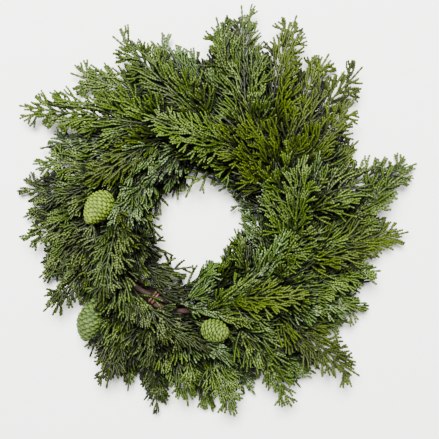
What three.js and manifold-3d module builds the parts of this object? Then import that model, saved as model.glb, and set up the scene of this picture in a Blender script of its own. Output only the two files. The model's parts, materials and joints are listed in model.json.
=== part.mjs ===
// A fresh evergreen wreath: flat cypress sprays tucked into a ring of twisted grapevine, with three cones.
// Millimetres, +Z up. The wreath lies on its back, with its face up, on the tendrils that bind the vine.
// Its origin is the middle of its footprint there. Angles round the ring run anticlockwise from +X.

import * as THREE from "three";
import { mergeVertices } from "three/addons/utils/BufferGeometryUtils.js";
import Module from "manifold-3d";

const wasm = await Module();
wasm.setup();

// Vine ring
const RING_RADIUS = 128; // to the middle of the bundle of vine
const STRANDS = 4; // strands of vine side by side in the bundle
const STRAND_OFFSET = 8; // from the middle of the bundle to the middle of a strand
const VINE_RADIUS = 4;
const TWIST_TURNS = 3.5; // of the bundle in one lap. The half turn joins each strand to the opposite one
const VINE_END_GAP = 5; // degrees left open between a vine's two cut ends
const VINE_STEPS = 96; // on two laps
const VINE_SIDES = 5;

// Tendrils that bind the bundle, and that the wreath rests on
const TENDRIL_RADIUS = 1.5;
const TENDRIL_OFFSET = 14.5; // from the middle of the bundle
const TENDRIL_TURNS = 1.85;
const TENDRIL_PITCH = 4.6; // along the ring, for each turn
const TENDRIL_STEPS = 20;
const TENDRIL_SIDES = 4;
const TENDRIL_AT = [110, 236, 350];
const FOOT_CUT = 0.4; // how much of a tendril's underside is flat
const RING_HEIGHT = TENDRIL_OFFSET + TENDRIL_RADIUS - FOOT_CUT;

// Sprays
const FOOT_OFFSET = 2.4; // a stem's foot starts this far from the middle of the bundle, between the strands
const EXIT_OFFSET = 17; // and is clear of the bundle here
const FOOT_STEPS = 3;
const FOOT_HALF_WIDTH = 1.45;
const LEAN = 45; // degrees between the ring and a stem where it leaves it
const STEM_HALF_WIDTH = 1.8;
const STEM_TIP_HALF_WIDTH = 1.4;
const STEM_PULL = 0.36; // how far a stem runs on before it bends, against its length
const AIM_SPREAD = 16; // degrees
const ROLL_SPREAD = 50;
const LIFTS = [0, 4, 8, 12, 16, 20]; // a stem is raised, or slid by some degrees, to stay clear
const SLIDES = [0, 1.5, -1.5, 3, -3, 4.5, -4.5, 6, -6];
const NECK_HALF_WIDTH = 1.2; // a branch or twig is slimmer at its foot
const TWIG_HALF_WIDTH = 1.85;
const FLATNESS = 0.62; // thickness of a spray's pieces against their width
const CLEARANCE = 0.6; // between two sprays, and between the side shoots of one
const FLOOR_CLEARANCE = 1.2;
const HOLE_RADIUS = 46; // kept free of foliage
const HOLE_CENTRE = new THREE.Vector3(-8, -2, 0);

// Where each outer spray leaves the ring, the way to its tip from there, its reach and its tip's height
const OUTER_SPRAYS = [
  { at: 102, aim: 168, reach: 236, height: 32 },
  { at: 86, aim: 154, reach: 217, height: 16 },
  { at: 78, aim: 136, reach: 207, height: 40 },
  { at: 69, aim: 128, reach: 188, height: 14 },
  { at: 61, aim: 102, reach: 187, height: 34 },
  { at: 53, aim: 95, reach: 214, height: 22 },
  { at: 45, aim: 78, reach: 211, height: 38 },
  { at: 38, aim: 64, reach: 187, height: 14 },
  { at: 30, aim: 54, reach: 199, height: 32 },
  { at: 21, aim: 54, reach: 160, height: 52 },
  { at: 11, aim: 44, reach: 136, height: 20 },
  { at: 2, aim: 25, reach: 200, height: 14 },
  { at: 341, aim: 34, reach: 196, height: 38 },
  { at: 334, aim: 14, reach: 186, height: 18 },
  { at: 322, aim: 5, reach: 150, height: 36 },
  { at: 312, aim: -10, reach: 154, height: 14 },
  { at: 303, aim: -35, reach: 186, height: 30 },
  { at: 294, aim: -38, reach: 145, height: 14 },
  { at: 284, aim: -54, reach: 162, height: 34 },
  { at: 273, aim: -60, reach: 132, height: 14 },
  { at: 263, aim: -67, reach: 153, height: 36 },
  { at: 253, aim: -71, reach: 153, height: 12 },
  { at: 244, aim: -76, reach: 142, height: 36 },
  { at: 226, aim: -82, reach: 156, height: 14 },
  { at: 215, aim: -102, reach: 156, height: 38 },
  { at: 205, aim: -110, reach: 140, height: 14 },
  { at: 189, aim: -135, reach: 138, height: 36 },
  { at: 178, aim: -152, reach: 118, height: 12 },
  { at: 166, aim: -160, reach: 138, height: 36 },
  { at: 153, aim: -178, reach: 152, height: 12 },
  { at: 140, aim: 175, reach: 138, height: 34 },
  { at: 126, aim: 170, reach: 128, height: 14 },
];

// The sprays inside the ring stand at even angles round it, and those over it leave the cones in view
const INNER_AT = Array.from({ length: 12 }, (_, i) => 4 + 30 * i);
const FRONT_AT = [20, 65, 108, 166, 212, 276, 308, 342];

// A stem has one branch for each step
const KINDS = {
  outer: { phase: 15, droop: -0.1, step: 16, sprays: OUTER_SPRAYS },
  inner: { phase: 165, droop: 0, step: 12, sprays: spreadSprays(INNER_AT, 153, 92, [12, 26, 40]) },
  front: { phase: 88, droop: -0.25, step: 15, sprays: spreadSprays(FRONT_AT, 98, 132, [60, 72]) },
};

function spreadSprays(angles, aim, reach, heights) {
  return angles.map((at, i) => ({ at, aim: at + aim, reach, height: heights[i % heights.length] }));
}

const BARE_STEPS = 1; // of the free stem, before its first branch
const BRANCH_LENGTH = 20; // of the first branch, with a share of the reach on top
const BRANCH_SHARE = 0.25;
const TIP_SHARE = 0.4; // the last branch's length against the first's
const SHORTEST_BRANCH = 16;
const LONGEST_BRANCH = 62;
const BRANCH_ANGLE = 36;
const BRANCH_NECK = 9; // from the middle of the stem to a branch's first ring of corners
const SIDE_AT = 0.72; // of its step, where a side shoot's line meets the shoot that it grows from
const TWIG_STEP = 11; // at least, along a branch, for each twig
const TWIGGED = 0.76; // of the branch
const MOST_TWIGS = 2;
const TWIG_ANGLE = 34;
const TWIG_SHARE = 0.5; // a twig's length against what is left of its branch
const SHORTEST_TWIG = 13;
const SPREAD = 0.15; // how much lengths and angles vary, up and down
const BENDS = [0, 9, -9, 18, -18]; // degrees that a piece turns up or down to stay clear, tried in order
const SHORTER = [1, 0.75, 0.55];

// Cones. Each centre is its own middle, and the cone points from its stalk.
const CONE_ROWS = 9;
const CONE_COLUMNS = 9;
const SCALE_RISE = 2.4;
const STALK_RADIUS = 1.3;
const STALK_SIDES = 4;
const STALK_STEP = 14;
const STALK_DEPTH = 6; // how far the stalk runs into the cone
const CONES = [
  {
    name: "left",
    at: 147,
    phase: 60,
    length: 56,
    radius: 19,
    centre: [-149, 26, 52],
    points: [-0.5, -0.72, 0.25],
  },
  {
    name: "lower_left",
    at: 197,
    phase: 30,
    length: 54,
    radius: 18,
    centre: [-164, -142, 40],
    points: [-0.25, -0.95, -0.1],
  },
  {
    name: "lower",
    at: 261,
    phase: 80,
    length: 46,
    radius: 16,
    centre: [20, -150, 56],
    points: [0.72, -0.12, 0.55],
  },
];

const COLOURS = { spray: 0x4c7a2c, cone: 0xa2b864, vine: 0x4a3028, tendril: 0x6b4a3a };

const radians = THREE.MathUtils.degToRad;
const { clamp } = THREE.MathUtils;
const vector = (x, y, z) => new THREE.Vector3(x, y, z);
const UP = vector(0, 0, 1);

// A seeded draw from 0 to 1
function draws(seed) {
  let state = seed >>> 0;
  return () => {
    state = (state + 0x6d2b79f5) >>> 0;
    let t = state;
    t = Math.imul(t ^ (t >>> 15), t | 1);
    t ^= t + Math.imul(t ^ (t >>> 7), t | 61);
    return ((t ^ (t >>> 14)) >>> 0) / 4294967296;
  };
}

// Solids
function toSolid(geometry) {
  const bare = geometry.clone();
  bare.deleteAttribute("normal");
  bare.deleteAttribute("uv");
  const merged = mergeVertices(bare, 1e-4);
  return new wasm.Manifold(
    new wasm.Mesh({
      numProp: 3,
      vertProperties: merged.attributes.position.array,
      triVerts: new Uint32Array(merged.index.array),
    }),
  );
}

function toGeometry(solid) {
  const mesh = solid.getMesh();
  return new THREE.BufferGeometry()
    .setAttribute("position", new THREE.BufferAttribute(mesh.vertProperties, 3))
    .setIndex(new THREE.BufferAttribute(mesh.triVerts, 1));
}

// A point at an angle round the ring, an offset from the middle of the bundle, and a phase, 90 being up
function inBundle(angle, offset, phase) {
  const out = RING_RADIUS + offset * Math.cos(radians(phase));
  return vector(
    out * Math.cos(radians(angle)),
    out * Math.sin(radians(angle)),
    RING_HEIGHT + offset * Math.sin(radians(phase)),
  );
}

function offsetFromBundle(point) {
  return Math.hypot(Math.hypot(point.x, point.y) - RING_RADIUS, point.z - RING_HEIGHT);
}

class Route extends THREE.Curve {
  constructor(pointAt) {
    super();
    this.pointAt = pointAt;
  }
  getPoint(share) {
    return this.pointAt(share);
  }
}

function tube(route, radius, sides, steps) {
  const corners = Array.from({ length: sides }, (_, i) => {
    const turn = (2 * Math.PI * i) / sides;
    return new THREE.Vector2(radius * Math.cos(turn), radius * Math.sin(turn));
  });
  return new THREE.ExtrudeGeometry(new THREE.Shape(corners), {
    steps,
    bevelEnabled: false,
    extrudePath: route,
  });
}

// Each of the two vines goes twice round the ring, and takes two opposite strands of the bundle
function vineGeometry(index) {
  const first = (index * 360) / STRANDS;
  const span = 720 - 2 * VINE_END_GAP;
  const route = new Route((share) => {
    const angle = first + VINE_END_GAP + span * share;
    return inBundle(angle, STRAND_OFFSET, first + TWIST_TURNS * angle);
  });
  return tube(route, VINE_RADIUS, VINE_SIDES, VINE_STEPS);
}

function tendrilRoute(at) {
  const pitch = THREE.MathUtils.radToDeg(TENDRIL_PITCH / RING_RADIUS);
  return new Route((share) => {
    const turns = TENDRIL_TURNS * (share - 0.5);
    return inBundle(at + pitch * turns, TENDRIL_OFFSET, 360 * turns - 90);
  });
}

function floorSlab() {
  const deep = 10;
  const wide = 4 * RING_RADIUS;
  return toSolid(new THREE.BoxGeometry(wide, wide, deep).translate(0, 0, -deep / 2));
}

// The gap between two strands that lies nearest to a phase, at an angle round the ring
function nearestGap(angle, phase) {
  const apart = 360 / STRANDS;
  const first = apart / 2 + TWIST_TURNS * angle;
  return first + Math.round((phase - first) / apart) * apart;
}

// A stem's foot lies between two strands, and from there the stem runs on one smooth curve to its tip
function stemPath(at, phase, tip, tipWay, step) {
  const gap = nearestGap(at, phase);
  const lean = THREE.MathUtils.radToDeg(1 / Math.tan(radians(LEAN)) / RING_RADIUS);
  const footPoint = (offset) => {
    const slide = (offset - EXIT_OFFSET) * lean;
    return inBundle(at + slide, offset, gap + TWIST_TURNS * slide);
  };
  const foot = [];
  for (let i = 0; i < FOOT_STEPS; i++)
    foot.push(footPoint(FOOT_OFFSET + ((EXIT_OFFSET - FOOT_OFFSET) * i) / FOOT_STEPS));
  const exit = footPoint(EXIT_OFFSET);
  const exitWay = exit.clone().sub(footPoint(EXIT_OFFSET - 1)).normalize();
  const pull = STEM_PULL * exit.distanceTo(tip);
  const curve = new THREE.CubicBezierCurve3(
    exit,
    exit.clone().addScaledVector(exitWay, pull),
    tip.clone().addScaledVector(tipWay, -pull),
    tip,
  );
  return [...foot, ...curve.getPoints(Math.round(exit.distanceTo(tip) / step))];
}

// Shortest distance between the segments a-b and c-d
function segmentGap(a, b, c, d) {
  const u = b.clone().sub(a);
  const v = d.clone().sub(c);
  const w = a.clone().sub(c);
  const uu = u.dot(u);
  const uv = u.dot(v);
  const vv = v.dot(v);
  const uw = u.dot(w);
  const vw = v.dot(w);
  const den = uu * vv - uv * uv;
  let s = den > 1e-9 ? clamp((uv * vw - vv * uw) / den, 0, 1) : 0;
  const t = clamp((uv * s + vw) / vv, 0, 1);
  s = clamp((uv * t - uw) / uu, 0, 1);
  return w.addScaledVector(u, s).addScaledVector(v, -t).length();
}

// What is already in place, as round-ended pieces. Each knows the shoot that it is part of, if any.
const placed = [];

function placeAlong(path, radius) {
  path.slice(1).forEach((b, i) => placed.push({ a: path[i], b, radius }));
}

function isClear({ a, b, radius }, parent) {
  return placed.every(
    (other) =>
      other.shoot === parent ||
      segmentGap(a, b, other.a, other.b) >= radius + other.radius + CLEARANCE,
  );
}

// The line from the middle of a cone's rounded foot to that of its rounded tip
function coneCore({ centre, points, length, radius }) {
  const half = vector(...points).setLength(length / 2 - radius);
  return [vector(...centre).sub(half), vector(...centre).add(half)];
}

// Whether a point hides a part of a cone from the front
function hidesCone(point, radius) {
  return CONES.some((cone) => {
    const [start, end] = coneCore(cone);
    const away = point.clone().sub(new THREE.Line3(start, end).closestPointToPoint(point, true, vector(0, 0, 0)));
    return away.z > 0 && Math.hypot(away.x, away.y) < cone.radius + radius;
  });
}

// Clear of the surface below, of the vine with its tendrils, of the hole, and of the view of the cones
function isInBounds({ a, b, radius }) {
  return [0, 0.25, 0.5, 0.75, 1].every((share) => {
    const point = a.clone().lerp(b, share);
    const fromHole = Math.hypot(point.x - HOLE_CENTRE.x, point.y - HOLE_CENTRE.y);
    return (
      point.z >= FLOOR_CLEARANCE + radius &&
      offsetFromBundle(point) >= TENDRIL_OFFSET + TENDRIL_RADIUS + radius &&
      fromHole >= HOLE_RADIUS + radius &&
      !hidesCone(point, radius)
    );
  });
}

// A shoot's frame at each point of its path. It turns as little as it can, and has its roll at the tip.
function framesAlong(path, roll) {
  const frames = [];
  let left = null;
  for (let i = path.length - 1; i >= 0; i--) {
    const way = path[Math.min(i + 1, path.length - 1)].clone().sub(path[Math.max(i - 1, 0)]).normalize();
    left ??= UP.clone().cross(way).normalize().applyAxisAngle(way, roll);
    left = left.clone().addScaledVector(way, -left.dot(way)).normalize();
    frames.unshift({ at: path[i], way, left, up: way.clone().cross(left) });
  }
  return frames;
}

// The stem of one spray, slid along the ring and raised until it is clear of the others
function growStem(name, kind, { at, aim, reach, height }, seed) {
  const draw = draws(seed);
  const bend = radians(aim + AIM_SPREAD * (draw() - 0.5));
  const tipWay = vector(Math.cos(bend), Math.sin(bend), kind.droop).normalize();
  const roll = radians(ROLL_SPREAD * (draw() - 0.5));
  const tip = inBundle(at, 0, 0);
  tip.add(vector(reach * Math.cos(radians(aim)), reach * Math.sin(radians(aim)), 0));
  const stem = { name, reach, draw, branches: [] };
  for (const lift of LIFTS)
    for (const slide of SLIDES) {
      const path = stemPath(at + slide, kind.phase, tip.clone().setZ(height + lift), tipWay, kind.step);
      const pieces = path.slice(1).map((b, i) => {
        const radius = i < FOOT_STEPS ? FOOT_HALF_WIDTH : STEM_HALF_WIDTH;
        return { a: path[i], b, radius, shoot: stem };
      });
      if (!pieces.every((piece) => isClear(piece, stem))) continue;
      placed.push(...pieces);
      return { ...stem, shoot: stem, frames: framesAlong(path, roll) };
    }
  throw new Error(name + " has no clear way out of the ring");
}

const varied = (draw) => 1 + SPREAD * (2 * draw() - 1);

// A straight side shoot, bent up or down or shortened until it is clear of all but its parent shoot
function growSide(parent, frame, leftward, angle, length, shortest) {
  const turn = radians(leftward ? angle : -angle);
  const level = frame.way.clone().applyAxisAngle(frame.up, turn);
  const left = frame.up.clone().cross(level);
  for (const share of SHORTER)
    for (const bend of BENDS) {
      if (length * share < shortest) continue;
      const way = level.clone().applyAxisAngle(left, -radians(bend));
      const up = way.clone().cross(left);
      const shoot = { from: frame.at, way, left, up, length: length * share, leftward };
      const piece = {
        a: frame.at.clone().addScaledVector(way, BRANCH_NECK / 2),
        b: frame.at.clone().addScaledVector(way, shoot.length),
        radius: TWIG_HALF_WIDTH,
        shoot,
      };
      if (!isInBounds(piece) || !isClear(piece, parent)) continue;
      placed.push(piece);
      return shoot;
    }
  return null;
}

// Branches leave the stem left and right in turn, one to a step, and get shorter towards its tip
function growBranch(spray, step) {
  const { draw, reach, frames } = spray;
  const before = frames[step - 1];
  const share = (step - FOOT_STEPS) / (frames.length - 1 - FOOT_STEPS);
  const frame = { ...before, at: before.at.clone().lerp(frames[step].at, SIDE_AT) };
  const first = BRANCH_LENGTH + BRANCH_SHARE * reach;
  const wanted = first * THREE.MathUtils.lerp(1, TIP_SHARE, share) * varied(draw);
  const length = clamp(wanted, SHORTEST_BRANCH, LONGEST_BRANCH);
  const angle = BRANCH_ANGLE * varied(draw);
  const branch = growSide(spray.shoot, frame, step % 2 === 0, angle, length, SHORTEST_BRANCH);
  if (branch) spray.branches.push({ ...branch, step, shoot: branch, twigs: [] });
}

// Twigs leave a branch on its two sides in turn
function growTwigs(spray, branch) {
  const count = Math.min(MOST_TWIGS, Math.floor((TWIGGED * branch.length - BRANCH_NECK) / TWIG_STEP));
  branch.twigStep = (TWIGGED * branch.length - BRANCH_NECK) / Math.max(count, 1);
  for (let step = 1; step <= count; step++) {
    const distance = BRANCH_NECK + (step - 1 + SIDE_AT) * branch.twigStep;
    const at = branch.from.clone().addScaledVector(branch.way, distance);
    const length = Math.max(SHORTEST_TWIG, TWIG_SHARE * (branch.length - distance) * varied(spray.draw));
    const leftward = branch.leftward === (step % 2 === 1);
    const angle = TWIG_ANGLE * varied(spray.draw);
    const twig = growSide(branch.shoot, { ...branch, at }, leftward, angle, length, SHORTEST_TWIG);
    if (twig) branch.twigs.push({ ...twig, step });
  }
}

// The surface of a spray: rings of three corners, left, right and ridge, joined along each shoot
class SpraySurface {
  positions = [];
  faces = [];

  addCorner(point) {
    return this.positions.push(...point.toArray()) / 3 - 1;
  }

  addRing({ at, left, up }, halfWidth) {
    const low = at.clone().addScaledVector(up, (-2 / 3) * FLATNESS * halfWidth);
    return [
      this.addCorner(low.clone().addScaledVector(left, halfWidth)),
      this.addCorner(low.clone().addScaledVector(left, -halfWidth)),
      this.addCorner(at.clone().addScaledVector(up, (4 / 3) * FLATNESS * halfWidth)),
    ];
  }

  // Joins a ring to the next. A side shoot takes the place of one face, and grows from that face's corners.
  join([left, right, ridge], [nextLeft, nextRight, nextRidge], side) {
    this.faces.push(left, nextLeft, nextRight, left, nextRight, right);
    this.faces.push(right, nextRidge, ridge, ridge, nextRidge, left);
    if (side?.leftward) this.addSide(side, [left, nextLeft, nextRidge]);
    else this.faces.push(nextRidge, nextLeft, left);
    if (side && !side.leftward) this.addSide(side, [nextRight, right, nextRidge]);
    else this.faces.push(right, nextRight, nextRidge);
  }

  // Each shoot ends in a blunt cut
  addEnd([left, right, ridge]) {
    this.faces.push(right, left, ridge);
  }

  addSide(shoot, root) {
    const { from, way, length, twigs = [] } = shoot;
    const ringAt = (distance, halfWidth) =>
      this.addRing({ ...shoot, at: from.clone().addScaledVector(way, distance) }, halfWidth);
    const twigAt = new Map(twigs.map((twig) => [twig.step, twig]));
    let ring = root;
    if (twigs.length > 0) {
      const last = Math.max(...twigAt.keys());
      for (let step = 0; step <= last; step++) {
        if (step > 0 && !twigAt.has(step) && !twigAt.has(step + 1)) continue;
        const distance = BRANCH_NECK + step * shoot.twigStep;
        const halfWidth = THREE.MathUtils.lerp(NECK_HALF_WIDTH, TWIG_HALF_WIDTH, distance / length);
        const next = ringAt(distance, halfWidth);
        this.join(ring, next, twigAt.get(step));
        ring = next;
      }
    }
    const end = ringAt(length, TWIG_HALF_WIDTH);
    this.join(ring, end);
    this.addEnd(end);
  }

  addStem({ frames, branches }) {
    const branchAt = new Map(branches.map((branch) => [branch.step, branch]));
    let ring = this.addRing(frames[0], FOOT_HALF_WIDTH);
    this.faces.push(...ring);
    for (let step = 1; step < frames.length; step++) {
      const share = (step - FOOT_STEPS) / (frames.length - 1 - FOOT_STEPS);
      const free = THREE.MathUtils.lerp(STEM_HALF_WIDTH, STEM_TIP_HALF_WIDTH, share);
      const halfWidth = step < FOOT_STEPS ? FOOT_HALF_WIDTH : free;
      const next = this.addRing(frames[step], halfWidth);
      this.join(ring, next, branchAt.get(step));
      ring = next;
    }
    this.addEnd(ring);
  }
}

function sprayGeometry(spray) {
  const surface = new SpraySurface();
  surface.addStem(spray);
  return new THREE.BufferGeometry()
    .setAttribute("position", new THREE.Float32BufferAttribute(surface.positions, 3))
    .setIndex(surface.faces);
}

// A cone: rows of raised scales, staggered, each a low pyramid with its peak nearer to the cone's tip
function coneRadius(cone, share) {
  return cone.radius * Math.pow(Math.sin(Math.PI * Math.pow(share, 0.8)), 0.62);
}

function coneGeometry(cone) {
  const { centre, points, length } = cone;
  const axis = vector(...points).normalize();
  const side = UP.clone().cross(axis).normalize();
  const normal = axis.clone().cross(side);
  const foot = vector(...centre).addScaledVector(axis, -length / 2);
  const columns = 2 * CONE_COLUMNS;
  const positions = [...foot.toArray()];
  const faces = [];
  for (let row = 1; row <= CONE_ROWS; row++)
    for (let column = 0; column < columns; column++) {
      const raised = (row + column) % 2 === 0;
      const share = (row + (raised ? 0.3 : 0)) / (CONE_ROWS + 1);
      const turn = (2 * Math.PI * column) / columns;
      const radius = coneRadius(cone, share) + (raised ? SCALE_RISE : 0);
      positions.push(
        ...foot
          .clone()
          .addScaledVector(axis, length * share)
          .addScaledVector(side, radius * Math.cos(turn))
          .addScaledVector(normal, radius * Math.sin(turn))
          .toArray(),
      );
    }
  const corner = (row, column) => 1 + (row - 1) * columns + ((column + columns) % columns);
  for (let row = 1; row < CONE_ROWS; row++)
    for (let column = 0; column < columns; column++) {
      const [a, b, c, d] = [
        corner(row, column),
        corner(row, column + 1),
        corner(row + 1, column + 1),
        corner(row + 1, column),
      ];
      if ((row + column) % 2 === 0) faces.push(a, b, d, b, c, d);
      else faces.push(a, b, c, a, c, d);
    }
  const tip = positions.length / 3;
  positions.push(...foot.clone().addScaledVector(axis, length).toArray());
  for (let column = 0; column < columns; column++) {
    faces.push(0, corner(1, column + 1), corner(1, column));
    faces.push(tip, corner(CONE_ROWS, column), corner(CONE_ROWS, column + 1));
  }
  return new THREE.BufferGeometry()
    .setAttribute("position", new THREE.Float32BufferAttribute(positions, 3))
    .setIndex(faces);
}

// A cone's stalk goes between the strands as a stem does
function stalkPath({ at, centre, points, phase, length }) {
  const axis = vector(...points).normalize();
  const end = vector(...centre).addScaledVector(axis, STALK_DEPTH - length / 2);
  return stemPath(at, phase, end, axis, STALK_STEP);
}

function stalkedConeGeometry(cone, path) {
  const stalk = tube(new THREE.CatmullRomCurve3(path), STALK_RADIUS, STALK_SIDES, path.length);
  return toGeometry(toSolid(coneGeometry(cone)).add(toSolid(stalk)));
}

// Assembly
const wreath = new THREE.Group();

function addNode(name, geometry, colour, roughness) {
  const material = new THREE.MeshStandardMaterial({ color: colour, roughness, metalness: 0 });
  const mesh = new THREE.Mesh(geometry, material);
  mesh.name = name;
  wreath.add(mesh);
}

for (const index of [0, 1]) addNode("vine_" + (index + 1), vineGeometry(index), COLOURS.vine, 0.85);

const slab = floorSlab();
TENDRIL_AT.forEach((at, i) => {
  const route = tendrilRoute(at);
  placeAlong(route.getPoints(TENDRIL_STEPS), TENDRIL_RADIUS);
  const rod = tube(route, TENDRIL_RADIUS, TENDRIL_SIDES, TENDRIL_STEPS);
  addNode("tendril_" + (i + 1), toGeometry(toSolid(rod).subtract(slab)), COLOURS.tendril, 0.8);
});

for (const cone of CONES) {
  const path = stalkPath(cone);
  placeAlong(path, STALK_RADIUS);
  placeAlong(coneCore(cone), cone.radius + SCALE_RISE);
  addNode("cone_" + cone.name, stalkedConeGeometry(cone, path), COLOURS.cone, 0.6);
}

const sprays = [];
for (const [kindName, kind] of Object.entries(KINDS))
  kind.sprays.forEach((spray, i) => {
    const name = "spray_" + kindName + "_" + (i + 1);
    sprays.push(growStem(name, kind, spray, sprays.length + 1));
  });
const mostSteps = Math.max(...sprays.map((spray) => spray.frames.length));
for (let step = FOOT_STEPS + 1 + BARE_STEPS; step < mostSteps; step++)
  for (const spray of sprays) if (step < spray.frames.length - 1) growBranch(spray, step);
for (const spray of sprays) for (const branch of spray.branches) growTwigs(spray, branch);
for (const spray of sprays) addNode(spray.name, sprayGeometry(spray), COLOURS.spray, 0.6);

// The origin goes to the middle of the footprint
const box = new THREE.Box3().setFromObject(wreath);
const middle = box.getCenter(vector(0, 0, 0));
wreath.position.set(-middle.x, -middle.y, 0);

export default wreath;
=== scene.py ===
"""Dresses the fresh evergreen wreath: leafy cypress sprays, a bark-covered vine ring and three green cones.

Lengths are in millimetres until a mesh is made, and angles are in degrees. The sprays grow by the same seeded
rule as the solids do, so that each leafy spray keeps its solid's stem, branches and twigs, and adds finer ones.
"""

import json
import logging
import math
from dataclasses import dataclass, field
from enum import Enum
from typing import Any, NamedTuple, Sequence, Union

import bpy
import numpy as np
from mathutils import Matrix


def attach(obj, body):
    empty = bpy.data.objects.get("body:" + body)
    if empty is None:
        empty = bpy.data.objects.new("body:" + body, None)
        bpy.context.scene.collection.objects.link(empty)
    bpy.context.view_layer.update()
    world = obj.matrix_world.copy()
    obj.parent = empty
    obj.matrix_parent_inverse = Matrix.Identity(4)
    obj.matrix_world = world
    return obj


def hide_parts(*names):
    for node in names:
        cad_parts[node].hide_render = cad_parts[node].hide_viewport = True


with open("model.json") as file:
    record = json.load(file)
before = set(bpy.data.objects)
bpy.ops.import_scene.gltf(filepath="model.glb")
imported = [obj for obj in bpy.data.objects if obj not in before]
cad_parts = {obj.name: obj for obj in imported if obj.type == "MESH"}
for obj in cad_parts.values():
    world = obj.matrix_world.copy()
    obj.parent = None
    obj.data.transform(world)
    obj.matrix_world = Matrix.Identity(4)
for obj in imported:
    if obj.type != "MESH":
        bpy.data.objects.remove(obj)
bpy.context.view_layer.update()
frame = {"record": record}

log = logging.getLogger("wreath")
Array = np.ndarray

MM = 0.001
# The solids' source sets the middle of their footprint on the origin with this shift.
FOOTPRINT_SHIFT = np.array((-21.764938, -23.929138, 0.0))
UP = np.array((0.0, 0.0, 1.0))
TEST_SHARES = np.linspace(0, 1, 5)[:, None]
GOLDEN_TURN = math.pi * (3 - math.sqrt(5))
BODY = "root"


def unit(vector: Array) -> Array:
    """Scales a vector to length 1."""
    return vector / np.linalg.norm(vector)


def units(rows: Array) -> Array:
    """Scales each row to length 1."""
    return rows / np.linalg.norm(rows, axis=1)[:, None]


def turned(vector: Array, axis: Array, degrees: float) -> Array:
    """Turns a vector about an axis of length 1.

    Args:
        vector: What is turned.
        axis: What it turns about.
        degrees: The angle, by the right-hand rule.

    Returns:
        The turned vector.
    """
    cosine, sine = math.cos(math.radians(degrees)), math.sin(math.radians(degrees))
    along = axis * (axis @ vector) * (1 - cosine)
    return vector * cosine + np.cross(axis, vector) * sine + along


def rounded(number: float) -> int:
    """Rounds halves up."""
    return math.floor(number + 0.5)


def mixed(low: float, high: float, share: float) -> float:
    """Goes from low to high as share goes from 0 to 1."""
    return low + (high - low) * share


class Draws:
    """Seeded draws from 0 to 1, by the same rule as in the solids' source."""

    BITS = 0xFFFFFFFF
    STEP = 0x6D2B79F5

    def __init__(self, seed: int) -> None:
        """Starts at a seed."""
        self.state = seed & self.BITS

    def __call__(self) -> float:
        """Draws the next number.

        Returns:
            The number, which is below 1.
        """
        self.state = (self.state + self.STEP) & self.BITS
        t = self.state
        t = ((t ^ (t >> 15)) * (t | 1)) & self.BITS
        t ^= (t + (t ^ (t >> 7)) * (t | 61)) & self.BITS
        return (t ^ (t >> 14)) / (self.BITS + 1)

    def around(self, middle: float, spread: float) -> float:
        """Draws a number within a spread of the middle."""
        return middle + spread * (2 * self() - 1)


class Axes(NamedTuple):
    """A point on a shoot with its three directions."""

    at: Array
    way: Array
    left: Array
    up: Array


# Shaders


Operand = Union["Value", float]
SocketValue = Union["Value", float, Sequence[float]]


class Value:
    """A number on a node's output. Arithmetic on it adds Math nodes."""

    def __init__(self, shader: "Shader", socket: bpy.types.NodeSocket) -> None:
        """Wraps an output socket of a shader."""
        self.shader = shader
        self.socket = socket

    def _math(self, operation: str, *operands: Operand, clamp: bool = False) -> "Value":
        """Adds a Math node with its operands in order. A clamped result stays from 0 to 1."""
        settings = {"operation": operation, "use_clamp": clamp}
        return self.shader.add("ShaderNodeMath", settings, dict(enumerate(operands)))

    def __add__(self, other: Operand) -> "Value":
        """Adds."""
        return self._math("ADD", self, other)

    __radd__ = __add__

    def __sub__(self, other: Operand) -> "Value":
        """Subtracts."""
        return self._math("SUBTRACT", self, other)

    def __rsub__(self, other: Operand) -> "Value":
        """Subtracts from the other."""
        return self._math("SUBTRACT", other, self)

    def __mul__(self, other: Operand) -> "Value":
        """Multiplies."""
        return self._math("MULTIPLY", self, other)

    __rmul__ = __mul__

    def __mod__(self, other: Operand) -> "Value":
        """Leaves the remainder, from 0 up."""
        return self._math("FLOORED_MODULO", self, other)

    def __abs__(self) -> "Value":
        """Drops the sign."""
        return self._math("ABSOLUTE", self)

    def clamped(self) -> "Value":
        """Limits to 0 and 1."""
        return self._math("ADD", self, 0.0, clamp=True)

    def ramp(self, low: float, high: float) -> "Value":
        """Goes smoothly from 0 to 1 as the value goes from low to high."""
        settings = {"interpolation_type": "SMOOTHSTEP"}
        return self.shader.add("ShaderNodeMapRange", settings, {"Value": self, "From Min": low, "From Max": high})


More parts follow.
